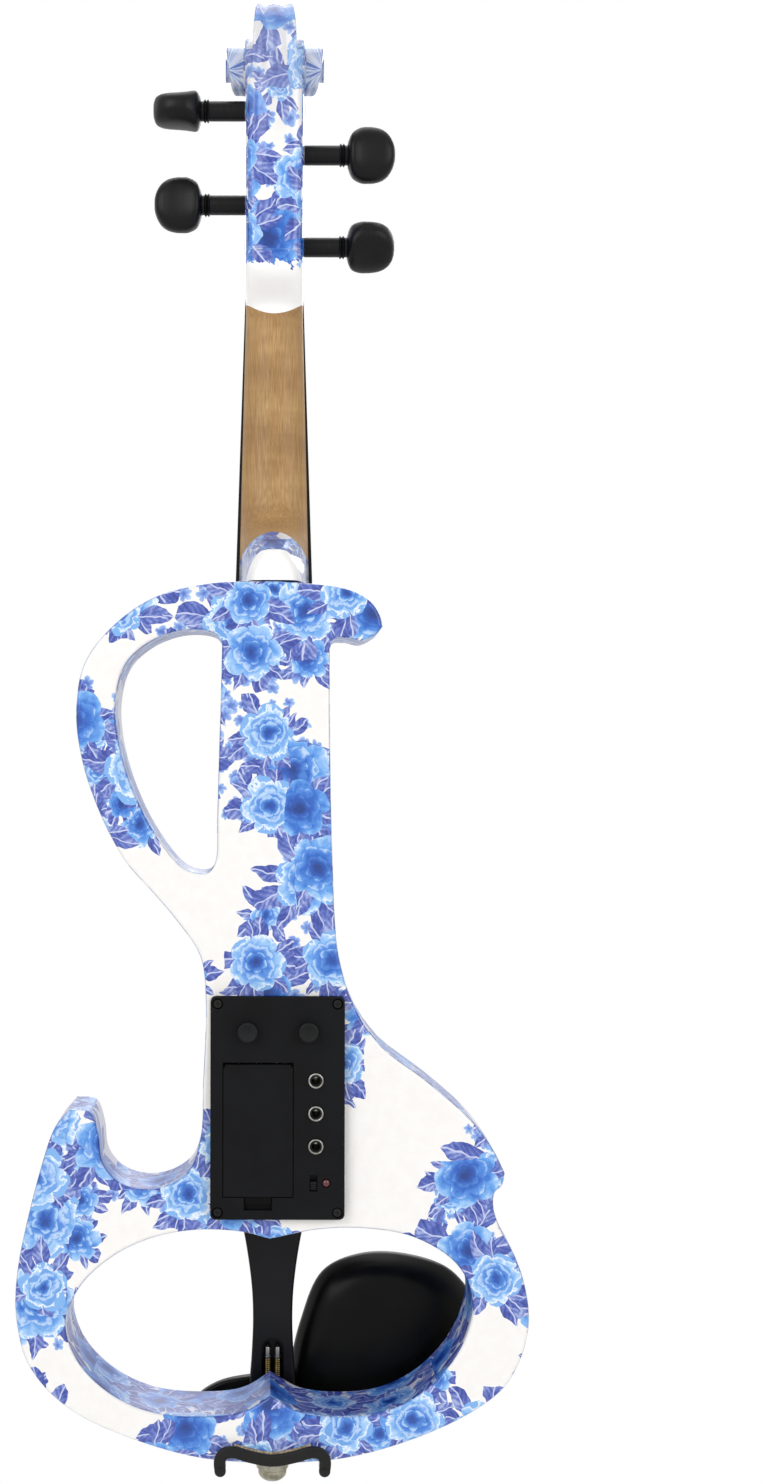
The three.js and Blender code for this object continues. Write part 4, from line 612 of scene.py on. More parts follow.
def neck_finish():
    """Satin oiled maple between two printed ends: fine long grain with a faint flame across it."""
    material, tree, shader = start_material("oiled_maple_with_printed_ends", IOR=1.5)
    colour, split, wash = flower_print(tree)
    spot = add(tree, "TexCoord", out="Object")
    high = split.node.outputs["Z"]
    # grain lines about 0.5 mm apart, drawn out forty times along the neck
    stretched = add(tree, "Mapping", {"Vector": spot, "Scale": (1900.0, 1900.0, 45.0)})
    grain = add(tree, "TexNoise", {"Vector": stretched, "Scale": 1.0, "Detail": 3.0, "Roughness": 0.6})
    # flame stripes about 9 mm apart across the neck
    flame_place = add(tree, "Mapping", {"Vector": spot, "Scale": (30.0, 30.0, 120.0)})
    flame = add(tree, "TexNoise", {"Vector": flame_place, "Scale": 1.0, "Detail": 2.0})
    tone = add(
        tree, "Math", [grain, 0.6, add(tree, "Math", [flame, 0.4], operation="MULTIPLY")], operation="MULTIPLY_ADD",
    )
    wood = add(
        tree, "ValToRGB", [tone], stops=[(0.3, "#876338"), (0.5, "#A47D4B"), (0.62, "#B48F5B"), (0.78, "#C6A471")],
    )
    # curved ends of the paint, by the square of the share of the half width
    side = add(tree, "Math", [split, 12.0], operation="DIVIDE")
    bowed = add(tree, "Math", [side, side], operation="MULTIPLY")
    upper = add(tree, "Math", [bowed, 5.0, 470.0 - HANG_Z], operation="MULTIPLY_ADD")
    lower = add(tree, "Math", [bowed, -7.0, 379.0 - HANG_Z], operation="MULTIPLY_ADD")
    above = add(tree, "Math", [high, upper], operation="GREATER_THAN")
    below = add(tree, "Math", [high, lower], operation="LESS_THAN")
    painted = add(tree, "Math", [above, below], operation="MAXIMUM")
    ragged = add(tree, "Math", [wash, 16.0, 478.0 - HANG_Z], operation="MULTIPLY_ADD")
    band = add(tree, "Math", [add(tree, "Math", [high, ragged], operation="LESS_THAN"), above], operation="MULTIPLY")
    button = add(
        tree, "Math", [add(tree, "Math", [bowed, bowed], operation="MULTIPLY"), -15.0, 370.0 - HANG_Z],
        operation="MULTIPLY_ADD",
    )
    plain = add(tree, "Math", [high, button], operation="LESS_THAN")
    # the printed film is greyer where it is stretched over the heel and the scroll
    scroll = add(
        tree, "MapRange",
        {"Value": high, "From Min": 535 - HANG_Z, "From Max": 560 - HANG_Z, "To Min": 0.0, "To Max": 0.3},
    )
    heel = add(tree, "Math", [below, 0.35], operation="MULTIPLY")
    greyed = add(
        tree, "Mix", {
            0: add(tree, "Math", [scroll, heel], operation="MAXIMUM"), 6: colour, 7: linear("#8E97B4"),
        }, out=2,
        data_type="RGBA",
    )
    # on the ears and over the top it has stretched into grey-blue rays round the eye of the scroll
    outward = add(tree, "Math", [add(tree, "Math", [split], operation="ABSOLUTE"), 19.5], operation="SUBTRACT")
    upward = add(tree, "Math", [high, 564.0 - HANG_Z], operation="SUBTRACT")
    ray = add(tree, "Math", [upward, outward], operation="ARCTAN2")
    reach = add(
        tree, "Math", [add(tree, "VectorMath", [spot], out="Value", operation="LENGTH"), 20.0], operation="MULTIPLY",
    )
    rays = add(
        tree, "TexNoise", {"Vector": add(tree, "CombineXYZ", [ray, reach]), "Scale": 3.4, "Detail": 4.0},
        noise_dimensions="2D",
    )
    streaks = add(
        tree, "ValToRGB", [rays],
        stops=[
            (0.32, "#4F6DB4"), (0.42, "#8299CC"), (0.5, "#C9D2E4"), (0.56, "#E2E5EC"), (0.63, "#93A1CA"),
            (0.74, "#5A69AC"),
        ],
    )
    ear = add(tree, "Math", [add(tree, "Math", [split], operation="ABSOLUTE"), 12.7], operation="GREATER_THAN")
    crown = add(tree, "Math", [high, 588.5 - HANG_Z], operation="GREATER_THAN")
    greyed = add(
        tree, "Mix",
        {
            0: add(tree, "Math", [add(tree, "Math", [ear, crown], operation="MAXIMUM"), 0.85], operation="MULTIPLY"),
            6: greyed, 7: streaks,
        },
        out=2, data_type="RGBA",
    )
    paint = add(
        tree, "Mix", {0: add(tree, "Math", [band, plain], operation="MAXIMUM"), 6: greyed, 7: linear("#FEFDFB")}, out=2,
        data_type="RGBA",
    )
    tree.links.new(
        add(tree, "Mix", {0: painted, 6: wood, 7: paint}, out=2, data_type="RGBA"), shader.inputs["Base Color"],
    )
    rough = add(tree, "MapRange", {"Value": painted, "To Min": 0.5, "To Max": 0.14})
    tree.links.new(rough, shader.inputs["Roughness"])
    height = add(tree, "Math", [grain, add(tree, "Math", [1.0, painted], operation="SUBTRACT")], operation="MULTIPLY")
    bump = add(tree, "Bump", {"Strength": 0.25, "Distance": 0.0001, "Height": height})
    tree.links.new(bump, shader.inputs["Normal"])
    return material


# ---------------------------------------------------------------- other finishes


def grained(name, scale, stops, rough, bump_strength, **constants):
    """A surface whose colour, sheen and relief follow one stretched grain."""
    material, tree, shader = start_material(name, IOR=1.5, **constants)
    place = add(tree, "Mapping", {"Vector": add(tree, "TexCoord", out="Object"), "Scale": scale})
    grain = add(tree, "TexNoise", {"Vector": place, "Scale": 1.0, "Detail": 3.0})
    tree.links.new(add(tree, "ValToRGB", [grain], stops=stops), shader.inputs["Base Color"])
    sheen = add(
        tree, "MapRange", {"Value": grain, "From Min": 0.3, "From Max": 0.7, "To Min": rough[0], "To Max": rough[1]},
    )
    tree.links.new(sheen, shader.inputs["Roughness"])
    bump = add(tree, "Bump", {"Strength": bump_strength, "Distance": 0.0001, "Height": grain})
    tree.links.new(bump, shader.inputs["Normal"])
    return material


def moulded(name, stops, rough, grit, strength, painted_recess_shade=False, **constants):
    """Moulded plastic or coated steel: cloudy in its colour, with a fine even grit in its relief, and, when asked,
    painted shade below the control box's face.
    """
    material, tree, shader = start_material(name, IOR=1.5, **constants)
    spot = add(tree, "TexCoord", out="Object")
    cloud = add(tree, "TexNoise", {"Vector": spot, "Scale": 60.0, "Detail": 3.0})
    colour = add(tree, "ValToRGB", [cloud], stops=stops)
    if painted_recess_shade:
        # inside the box, from 0.9 mm below its face, the plastic is painted near-black: painted shade in the recesses
        depth = add(tree, "SeparateXYZ", [spot], out="Y")
        inside = add(tree, "Math", [depth, (PANEL_FACE + 0.9 - HANG_Y) / 1000], operation="GREATER_THAN")
        colour = add(tree, "Mix", {0: inside, 6: colour, 7: linear("#020203")}, out=2, data_type="RGBA")
    tree.links.new(colour, shader.inputs["Base Color"])
    sheen = add(
        tree, "MapRange", {"Value": cloud, "From Min": 0.3, "From Max": 0.7, "To Min": rough[0], "To Max": rough[1]},
    )
    tree.links.new(sheen, shader.inputs["Roughness"])
    # spark-eroded grain is about 0.1 mm: drawn at 0.3 mm or more, as coarse as it needs to show
    grain = add(tree, "TexNoise", {"Vector": spot, "Scale": grit, "Detail": 1.0})
    bump = add(tree, "Bump", {"Strength": strength, "Distance": 0.00008, "Height": grain})
    tree.links.new(bump, shader.inputs["Normal"])
    return material


def plated(name, dark, colour, rough, scale):
    """Plated, drawn or turned metal: an even shine with fine wear in its roughness."""
    material, tree, shader = start_material(name, Metallic=1.0)
    spot = add(tree, "TexCoord", out="Object")
    wear = add(tree, "TexNoise", {"Vector": spot, "Scale": scale, "Detail": 4.0})
    tree.links.new(add(tree, "ValToRGB", [wear], stops=[(0.3, dark), (0.65, colour)]), shader.inputs["Base Color"])
    sheen = add(
        tree, "MapRange", {"Value": wear, "From Min": 0.3, "From Max": 0.7, "To Min": rough[0], "To Max": rough[1]},
    )
    tree.links.new(sheen, shader.inputs["Roughness"])
    return material


def speckled(name, stops, scale, roughness):
    """A dull surface with fine specks, such as cork or solder mask."""
    material, tree, shader = start_material(name, IOR=1.45, Roughness=roughness)
    spot = add(tree, "TexCoord", out="Object")
    specks = add(tree, "TexVoronoi", {"Vector": spot, "Scale": scale}, out="Color")
    grey = add(tree, "RGBToBW", {0: specks})
    tree.links.new(add(tree, "ValToRGB", [grey], stops=stops), shader.inputs["Base Color"])
    bump = add(tree, "Bump", {"Strength": 0.3, "Distance": 0.0001, "Height": grey})
    tree.links.new(bump, shader.inputs["Normal"])
    return material


def gut_nut_brass():
    """Turned brass, nickelled at its upper end only: silvery where it meets the recess, yellow below, both darkened as
    painted shade of the tailpiece recess.
    """
    material, tree, shader = start_material("half_nickelled_brass_in_painted_shade", Metallic=1.0)
    spot = add(tree, "TexCoord", out="Object")
    high = add(tree, "SeparateXYZ", {0: spot}, out="Z")
    plating = add(
        tree, "MapRange", {"Value": high, "From Min": (30.0 - HANG_Z) / 1000, "From Max": (30.6 - HANG_Z) / 1000},
    )
    wear = add(tree, "TexNoise", {"Vector": spot, "Scale": 600.0, "Detail": 3.0})
    # the plated and bare tones are kept dark: painted shade of the recess
    bare = add(tree, "ValToRGB", [wear], stops=[(0.3, "#3C3421"), (0.65, "#655939")])
    tree.links.new(
        add(tree, "Mix", {0: plating, 6: bare, 7: linear("#777674")}, out=2, data_type="RGBA"),
        shader.inputs["Base Color"],
    )
    sheen = add(tree, "MapRange", {"Value": wear, "To Min": 0.2, "To Max": 0.4})
    tree.links.new(sheen, shader.inputs["Roughness"])
    return material


def red_lens():
    """Clear red acrylic over a small lamp: deep red with a bright glint."""
    material, tree, shader = start_material("red_acrylic_lens", IOR=1.49, Roughness=0.12, Coat_Weight=0.4)
    spot = add(tree, "TexCoord", out="Object")
    depth = add(tree, "TexNoise", {"Vector": spot, "Scale": 900.0})
    tree.links.new(
        add(tree, "ValToRGB", [depth], stops=[(0.3, "#3C0A12"), (0.7, "#651422")]), shader.inputs["Base Color"],
    )
    return material


lacquer = print_lacquer()
neck_wood = neck_finish()
# Dyed and oiled hardwood: almost black, its long fine pores catching a little light
ebony = grained(
    "black_dyed_hardwood", (1400.0, 1400.0, 60.0), [
        (0.35, "#060607"), (0.6, "#0C0B0C"), (0.8, "#141211"),
    ], (0.32, 0.44), 0.15,
    Specular_IOR_Level=0.19,
)
# Quarter-cut unvarnished maple: pale, with short dark flecks
pale_maple = grained(
    "plain_bridge_maple", (260.0, 900.0, 900.0), [
        (0.35, "#A97E4B"), (0.5, "#CFA873"), (0.7, "#DDBB8A"),
    ], (0.5, 0.65), 0.1,
)
# Textured box plastic: matt charcoal that greys a little towards the light, with painted shade inside its recesses
panel_black = moulded(
    "moulded_black_abs_painted_recess_shade", [
        (0.35, "#09090B"), (0.7, "#101114"),
    ], (0.5, 0.62), 3200.0, 0.35, painted_recess_shade=True, Specular_IOR_Level=0.12,
)
# Smoother knob plastic: a shade greyer than the box
knob_black = moulded(
    "fine_moulded_abs", [(0.35, "#0F1011"), (0.7, "#151618")], (0.42, 0.52), 3000.0, 0.15, Specular_IOR_Level=0.18,
)
# Glass-filled nylon: even satin black with soft glints
satin_black = moulded(
    "satin_black_nylon", [(0.35, "#0B0B0D"), (0.7, "#121215")], (0.3, 0.4), 2400.0, 0.06, Specular_IOR_Level=0.18,
)
# Polished phenolic: warm black with an olive-brown cast where the light strikes
rest_black = moulded(
    "polished_brown_black_phenolic", [
        (0.35, "#040404"), (0.7, "#0A0A08"),
    ], (0.26, 0.34), 2000.0, 0.03, Specular_IOR_Level=0.11,
)
# Powder-coated spring steel: matt black, faintly rough
black_steel = moulded(
    "powder_coated_steel", [(0.35, "#121212"), (0.7, "#1C1B1A")], (0.36, 0.48), 2600.0, 0.15, Specular_IOR_Level=0.22,
)
# Nickel over brass: warm silver
nickel = plated("nickel_plated_brass", "#76746E", "#9E9C96", (0.18, 0.32), 500.0)
# Tinned brass button, a little tarnished: silvery olive
tarnished = plated("tarnished_nickel_silver", "#6E6A59", "#A7A392", (0.14, 0.3), 300.0)
# Wound steel: dull silver
steel = plated("wound_string_steel", "#7F7F82", "#B9B9BB", (0.25, 0.4), 2500.0)
brass = plated("satin_brass", "#8C7334", "#B59A4E", (0.22, 0.38), 600.0)
gut_brass_painted_shade = gut_nut_brass()
cork = speckled("sheet_cork", [(0.2, "#7F6F57"), (0.5, "#A4947A"), (0.8, "#BCAE94")], 1100.0, 0.9)
solder_mask = speckled("green_solder_mask", [(0.2, "#155232"), (0.8, "#1F6B3F")], 700.0, 0.4)
sleeve = speckled("grey_battery_sleeve", [(0.2, "#4F5359"), (0.8, "#5F646B")], 300.0, 0.35)
lens = red_lens()

SLOT_FINISH = {
    "lacquered_body": lacquer, "maple_neck": neck_wood, "bridge_maple": pale_maple, "black_wood": ebony,
    "black_plastic": panel_black, "black_metal": black_steel, "nickel": nickel, "string_steel": steel,
    "brass": brass, "cork": cork, "battery_wrap": sleeve, "circuit_board": solder_mask, "red_lens": lens,
}
for entry in frame["record"]["subparts"]:
    piece = nodes[entry["node"]]
    piece.data.materials.clear()
    piece.data.materials.append(SLOT_FINISH[entry["material_slot"]])
for name in ("tail_gut", "pickup_lead"):
    nodes[name].data.materials[0] = satin_black


# ---------------------------------------------------------------- body slab

BODY_LONG, BODY_HALF, BODY_THICK = 356.0, 104.0, 34.0
HORN_TOP = [(0, 1.003), (0.143, 1), (0.24, 0.997), (0.314, 0.991), (0.376, 0.98), (0.411, 0.965), (0.423, 0.951)]
HORN_UNDER = [(0.423, 0.951), (0.399, 0.943), (0.341, 0.935), (0.285, 0.938), (0.235, 0.937), (0.217, 0.926)]
SPINE_RIGHT = [
    (0.217, 0.926), (0.218, 0.868), (0.223, 0.754), (0.23, 0.686), (0.239, 0.618), (0.255, 0.576),
    (0.312, 0.522), (0.421, 0.475), (0.596, 0.436), (0.771, 0.391), (0.855, 0.358), (0.901, 0.331),
]
WING_TIP = [
    (0.901, 0.331), (0.89, 0.317), (0.862, 0.309), (0.857, 0.293), (0.881, 0.27), (0.944, 0.235),
    (0.984, 0.198), (0.996, 0.16), (0.966, 0.122), (0.9, 0.088), (0.776, 0.06), (0.566, 0.031),
    (0.295, 0.008), (0, 0),
]
BOUT_LEFT = [
    (0, 0), (-0.295, 0.008), (-0.566, 0.031), (-0.776, 0.06), (-0.9, 0.092), (-0.966, 0.124),
    (-1, 0.175), (-0.991, 0.222), (-0.961, 0.268), (-0.9, 0.338), (-0.848, 0.382), (-0.79, 0.403),
]
HOOK = [
    (-0.79, 0.403), (-0.712, 0.4), (-0.679, 0.376), (-0.661, 0.342), (-0.593, 0.32), (-0.46, 0.313),
    (-0.33, 0.332), (-0.281, 0.372), (-0.272, 0.43), (-0.262, 0.528), (-0.284, 0.577), (-0.372, 0.616),
    (-0.465, 0.648), (-0.582, 0.687), (-0.684, 0.745), (-0.748, 0.803), (-0.768, 0.856),
    (-0.737, 0.908), (-0.628, 0.951), (-0.466, 0.984), (-0.256, 1), (0, 1.003),
]
UPPER_OPENING = [
    (-0.201, 0.932), (-0.206, 0.868), (-0.213, 0.8), (-0.219, 0.732), (-0.226, 0.684), (-0.257, 0.672),
    (-0.342, 0.676), (-0.444, 0.709), (-0.54, 0.761), (-0.6, 0.817), (-0.614, 0.866), (-0.575, 0.908),
    (-0.477, 0.934), (-0.342, 0.947), (-0.23, 0.943), (-0.201, 0.932),
]
LOWER_OPENING_LEFT = [
    (-0.011, 0.256), (-0.12, 0.264), (-0.3, 0.266), (-0.468, 0.257), (-0.621, 0.236), (-0.745, 0.203),
    (-0.803, 0.163), (-0.761, 0.12), (-0.64, 0.083), (-0.48, 0.061), (-0.291, 0.055), (-0.12, 0.06),
    (-0.009, 0.079),
]
LOWER_OPENING_RIGHT = [
    (-0.009, 0.079), (0.11, 0.06), (0.29, 0.055), (0.445, 0.062), (0.6, 0.087), (0.731, 0.134),
    (0.777, 0.188), (0.714, 0.228), (0.55, 0.258), (0.365, 0.268), (0.18, 0.267), (-0.011, 0.256),
]


def outline(*runs):
    """A closed outline through runs of body shares, each with its number of steps."""
    points = []
    for shares, steps in runs:
        points += spline([(u * BODY_HALF, v * BODY_LONG) for u, v in shares], steps)[:-1]
    return points


PANEL_X, PANEL_Z, PANEL_WIDE, PANEL_HIGH = 1.8, 144.8, 54.0, 89.6
PX0, PX1 = PANEL_X - PANEL_WIDE / 2, PANEL_X + PANEL_WIDE / 2
PZ0, PZ1 = PANEL_Z - PANEL_HIGH / 2, PANEL_Z + PANEL_HIGH / 2
CAVITY = (PX0 + 4.4, PX1 - 4.4, PZ0 + 4.4, PZ1 - 4.4)

slab = plate(
    [
        outline((HORN_TOP, 24), (HORN_UNDER, 24), (SPINE_RIGHT, 44), (WING_TIP, 78), (BOUT_LEFT, 60), (HOOK, 126)),
        outline((UPPER_OPENING, 96)),
        outline((LOWER_OPENING_LEFT, 72), (LOWER_OPENING_RIGHT, 66)),
    ],
    0, BODY_THICK, 1.6, 3,
)
cut(
    slab,
    block(CAVITY[0], CAVITY[1], -2, 25, CAVITY[2], CAVITY[3]),
    block(-12.5, 12.5, 29, 36, -2, 7),
    bar(4.3, -17.3, 2, "-z", 0, 17, 0),
    bar(1.6, -2, 12, "-y", PANEL_X + 15.4, 36, 149.4, 24),
)
done(slab, "printed_body_slab", lacquer, "violin", "lacquered_body", "body", flat_faces=True)


# ---------------------------------------------------------------- neck, pegbox and scroll

NUT_Z = 486.0
NECK_START = BODY_LONG * 1.003 + GAP
BOARD_SLOPE = 6.4 / (NUT_Z - BODY_LONG * 1.003)
PEGBOX_HALF = 12.2


def under_board(z):
    return 32.4 + BOARD_SLOPE * (NUT_Z - z)


def neck_half(z):
    return 11.6 + (14.8 - 11.6) * (NUT_Z - z) / (NUT_Z - NECK_START)


def neck_ring(z, half, back, front, square, taper, flute, fineness=22):
    """Across the neck: a U with a flat front, its back rounded or boxy, with two flutes beside a ridge."""
    side = []
    for i in range(fineness + 1):
        share = i / fineness
        a = share * math.pi / 2
        deep = math.sin(a) ** square
        wide = 0.0 if i == fineness else math.cos(a) ** square * (1 - taper * deep)
        dip = flute * math.sin(math.pi * ((share - 0.71) / 0.29) ** 1.6) if share > 0.71 else 0.0
        side.append((half * wide, front - (front - back) * deep + dip))
    return [at(x, y, z) for x, y in side] + [at(-x, y, z) for x, y in reversed(side[:-1])]


HEEL = [
    (0, 0, 0.32, 0.27), (0.1, 0, 0.36, 0.31), (0.17, 0, 0.44, 0.37), (0.22, 0.004, 0.56, 0.42),
    (0.26, 0.03, 0.7, 0.42), (0.31, 0.12, 0.78, 0.36), (0.37, 0.3, 0.84, 0.27), (0.45, 0.53, 0.9, 0.17),
    (0.56, 0.75, 0.95, 0.1), (0.75, 0.93, 1, 0.04), (1, 1, 1, 0),
]
CHIN = [
    (0, 0, 1), (0.25, 0.07, 0.85), (0.42, 0.26, 0.66), (0.57, 0.52, 0.52), (0.72, 0.76, 0.42), (0.88, 0.93, 0.34),
    (1, 1, 0.3),
]
PEGBOX = [
    (0, 0, 0, 0), (0.27, 0.36, 0.26, 0), (0.45, 0.55, 0.5, 0.25), (0.6, 0.7, 0.62, 1), (0.82, 0.88, 0.85, 1),
    (0.94, 0.97, 0.95, 1), (1, 1, 1, 1), (1.1, 1.2, 1.75, 1),
]
rings = []
for run, climb, square, taper in stations(HEEL, 4):
    z = NECK_START + 42 * run
    rings.append(neck_ring(z, neck_half(z), GAP + (27 - GAP) * climb, under_board(z), square, taper, 0))
for k in range(1, 8):
    z = mix(NECK_START + 42, NUT_Z - 17, k / 8)
    rings.append(neck_ring(z, neck_half(z), mix(27, 22, k / 8), under_board(z), 1, 0, 0))
for run, fall, square in stations(CHIN, 4):
    z = NUT_Z + 17 * (run - 1)
    rings.append(neck_ring(z, neck_half(z) + 0.6 * fall, mix(22, 4, fall), under_board(z), square, 0, 0))
for run, lean, fall, flute in stations(PEGBOX, 6)[1:]:
    z = NUT_Z + 76 * run
    front = 36.4 - 20 * fall
    before_cheeks = z < NUT_Z + 5.8
    if not before_cheeks and rings[-1][0].z < (NUT_Z + 5.8 - HANG_Z) / 1000 - 1e-6:
        rings.append(neck_ring(NUT_Z + 5.8, PEGBOX_HALF, 4 - 8 * lean, 32.4, 0.3, 0, 0))
        rings.append(neck_ring(NUT_Z + 5.81, PEGBOX_HALF, 4 - 8 * lean, front, 0.3, 0, flute))
    rings.append(neck_ring(z, PEGBOX_HALF, 4 - 8 * lean, 32.4 if before_cheeks else front, 0.3, 0, flute))
neck = drawn_out(rings)

# The scroll winds in as it widens; each ring is an eighth of a turn after a row of the tables.
SCROLL_Y, SCROLL_Z = 12.0, 567.0
SCROLL_RADIUS = [
    0.66, 0.63, 0.85, 1, 0.94, 0.78, 0.6, 0.52, 0.49, 0.48, 0.468, 0.45, 0.42, 0.4, 0.385, 0.37, 0.36,
    0.35, 0.342, 0.335, 0.33,
]
SCROLL_WIDTH = [
    0.5, 0.46, 0.42, 0.37, 0.355, 0.37, 0.42, 0.47, 0.53, 0.6, 0.61, 0.61, 0.65, 0.71, 0.78, 0.85, 0.91,
    0.96, 0.99, 1, 1,
]


def scroll_ring(place, radius, width):
    a = (place - 1) * math.pi / 4
    r, w = 27 * radius, 20 * width
    dip = min(1.0, r - 2.4) * max(0.0, 1 - place / 9)
    section = [(2.4, -w), (r - 1, -w), (r - 0.62, -w + 0.08), (r - 0.3, -w + 0.3), (r - 0.08, -w + 0.62)]
    for k in range(17):
        x = (w - 1) * (k - 8) / 8
        section.append((r - dip * math.sin(math.pi * x / (w - 1)) ** 2, x))
    section += [(r - 0.08, w - 0.62), (r - 0.3, w - 0.3), (r - 0.62, w - 0.08), (r - 1, w), (2.4, w)]
    return [at(x, SCROLL_Y - d * math.cos(a), SCROLL_Z + d * math.sin(a)) for d, x in section]


PER_EIGHTH = 5
spiral = stations([(i, r, w) for i, (r, w) in enumerate(zip(SCROLL_RADIUS, SCROLL_WIDTH))], PER_EIGHTH)
lumps = []
for start in range(0, len(spiral) - 1, 6 * PER_EIGHTH):
    turn_rings = [
        scroll_ring(i / PER_EIGHTH, spiral[i][1], spiral[i][2])
        for i in range(start, min(start + 6 * PER_EIGHTH, len(spiral) - 1) + 1)
    ]
    lumps.append(drawn_out(turn_rings))
cut(neck, bar(4.8, -20, 20, "+x", 0, SCROLL_Y, SCROLL_Z, 40), *lumps, operation="UNION", solver="MANIFOLD")

# The hollow that the strings wind in, and the four tapered holes
hollow = drawn_out([
    [at(x, y, NUT_Z + z) for y, z in ((38.4, 5.2), (10, 5.2), (2, 70.1), (12, 70.1), (38.4, 64.1))] for x in (-7, 7)
])
soften_edges(hollow, 1.2, 3)
cut(neck, hollow, solver="MANIFOLD")
PEG_PLACES = {"g": (1, 20.0, 10.8, 50), "d": (1, 15.0, 47.3, 5), "a": (-1, 9.5, 63.5, 90), "e": (-1, 18.0, 27.6, 0)}
for side, y, z, _ in PEG_PLACES.values():
    cut(
        neck,
        turned([(3.8, -14.4), (4.3, 12.2), (4.32, 16)], "+x" if side > 0 else "-x", 0, y, NUT_Z + z, 40),
        solver="MANIFOLD",
    )
done(neck, "carved_neck", neck_wood, "violin", "maple_neck", "neck", angle=28)


# ---------------------------------------------------------------- tuning pegs

PEG_HEAD = [
    (0, 0.5, 0.36), (0.05, 0.86, 0.62), (0.13, 1, 0.83), (0.3, 0.9, 0.985), (0.5, 0.84, 1),
    (0.7, 0.82, 0.93), (0.85, 0.78, 0.76), (0.95, 0.66, 0.5), (1, 0.36, 0.24), (1.012, 0.05, 0.04),
]
for name, (side, y, z, quarter) in PEG_PLACES.items():
    axis = "+x" if side > 0 else "-x"
    shaft = [(3.25, -12.3), (3.5, -12.05), (4, 12.2), (4, 26.2)]
    for bead in range(2):
        start = 26.2 + 3.6 * (0.1 + bead * 0.34)
        for share in (0, 0.12, 0.28, 0.5, 0.72, 0.88, 1):
            shaft.append((4 + 0.72 * math.sin(math.pi * share), start + 1.17 * share))
    shaft += [(4, 29.8), (4, 31)]
    stem = turned(shaft, axis, 0, y, NUT_Z + z, 48)
    angle = math.radians(quarter)
    head_rings = []
    for run, thick, wide in stations(PEG_HEAD, 4):
        ring = []
        for i in range(48):
            a = math.tau * i / 48
            c, s = math.cos(a), math.sin(a)
            flat = 7.5 * thick * math.copysign(abs(c) ** 0.8, c)
            broad = 11.3 * wide * math.copysign(abs(s) ** 0.8, s)
            across = flat * math.cos(angle) + broad * math.sin(angle)
            along = -flat * math.sin(angle) + broad * math.cos(angle)
            dx, dy, dz = AXES[axis](across, 29.8 + 19.6 * min(run, 1.0) + 0.15 * max(run - 1, 0), along)
            ring.append(at(dx, y + dy, NUT_Z + z + dz))
        head_rings.append(ring)
    head = drawn_out(head_rings)
    done(
        joined(stem, head), "tuning_peg_shape_" + name, ebony, "tuning_peg_" + name, "black_wood", "peg_" + name,
        angle=50,
    )


# ---------------------------------------------------------------- fingerboard

rings = []
for k in range(13):
    z = NUT_Z - 270 + (270 - GAP) * k / 12
    share = (NUT_Z - z) / 270
    half = (24 + 18 * share) / 2
    under, top = under_board(z) + GAP, under_board(z) + 9
    ring = [at(half, under, z)]
    for i in range(33):
        x = half - 2 * half * i / 32
        ring.append(at(x, top - (42 - math.sqrt(42 * 42 - x * x)), z))
    ring.append(at(-half, under, z))
    rings.append(ring)
board = drawn_out(rings)
scoop = drawn_out([
    [at(x * 12, under_board(z) + GAP + y, z) for x, y in ((-1, -2), (1, -2), (0.6, 3), (-0.6, 3))]
    for z in (NUT_Z - 272, BODY_LONG * 1.003 - 6)
])
cut(board, scoop)
soften_edges(board, 0.35, 2, 35)
done(board, "arched_fingerboard", ebony, "violin", "black_wood", "fingerboard", flat_faces=True)


# ---------------------------------------------------------------- tailpiece

TAIL_UNDER, TAIL_TOP, TAIL_FOOT, TAIL_LONG = 42.0, 49.5, 8.0, 112.0
HOOK_Z = TAIL_FOOT + TAIL_LONG - 7
TAIL_SIDE = [
    (0, 0), (0.36, 0), (0.44, 0.03), (0.452, 0.11), (0.42, 0.2), (0.39, 0.34), (0.41, 0.46),
    (0.5, 0.6), (0.62, 0.72), (0.8, 0.85), (0.97, 0.95), (0.98, 0.985), (0.86, 1), (0, 1.01),
]
STRING_X = {"g": 14.5, "d": 14.5 / 3, "a": -14.5 / 3, "e": -14.5}
right = spline([(u * 21.5, TAIL_FOOT + v * TAIL_LONG) for u, v in TAIL_SIDE], 88)
tail = plate([right + [(-x, z) for x, z in reversed(right[1:-1])]], TAIL_UNDER, TAIL_TOP, 1.4, 4)
recess = [(-4.7, 20), (4.7, 20), (4.7, 34.8)]
recess += [(4.7 * math.cos(math.pi * k / 24), 34.8 + 4.7 * math.sin(math.pi * k / 24)) for k in range(1, 24)]
recess.append((-4.7, 34.8))
tools = [plate([recess], TAIL_UNDER - 2, TAIL_UNDER + 5)]
for side in (-1, 1):
    tools.append(bar(1.0, -2, 22, "+z", side * 2.15, TAIL_UNDER + 2.5, 0, 24))
for x in STRING_X.values():
    tools.append(block(x - 1.4, x + 1.4, TAIL_UNDER - 2, TAIL_TOP + 2, HOOK_Z - 4.2, HOOK_Z + 5.4))
    tools.append(bar(1.8, -2, 9.5, "+y", x, TAIL_UNDER, HOOK_Z - 16, 24))
cut(tail, *tools)
lugs = []
for x in STRING_X.values():
    for side in (-1, 1):
        inner, outer = x + side * 1.3, x + side * 2.4
        lug = block(min(inner, outer), max(inner, outer), 37.4, 42.3, HOOK_Z - 5.4, HOOK_Z - 0.6, 0.25)
        cut(lug, bar(1.1, -4, 4, "+x", x, 39.8, HOOK_Z - 3, 24))
        lugs.append(lug)
done(joined(tail, *lugs), "moulded_tailpiece", satin_black, "violin", "black_plastic", "tailpiece", flat_faces=True)

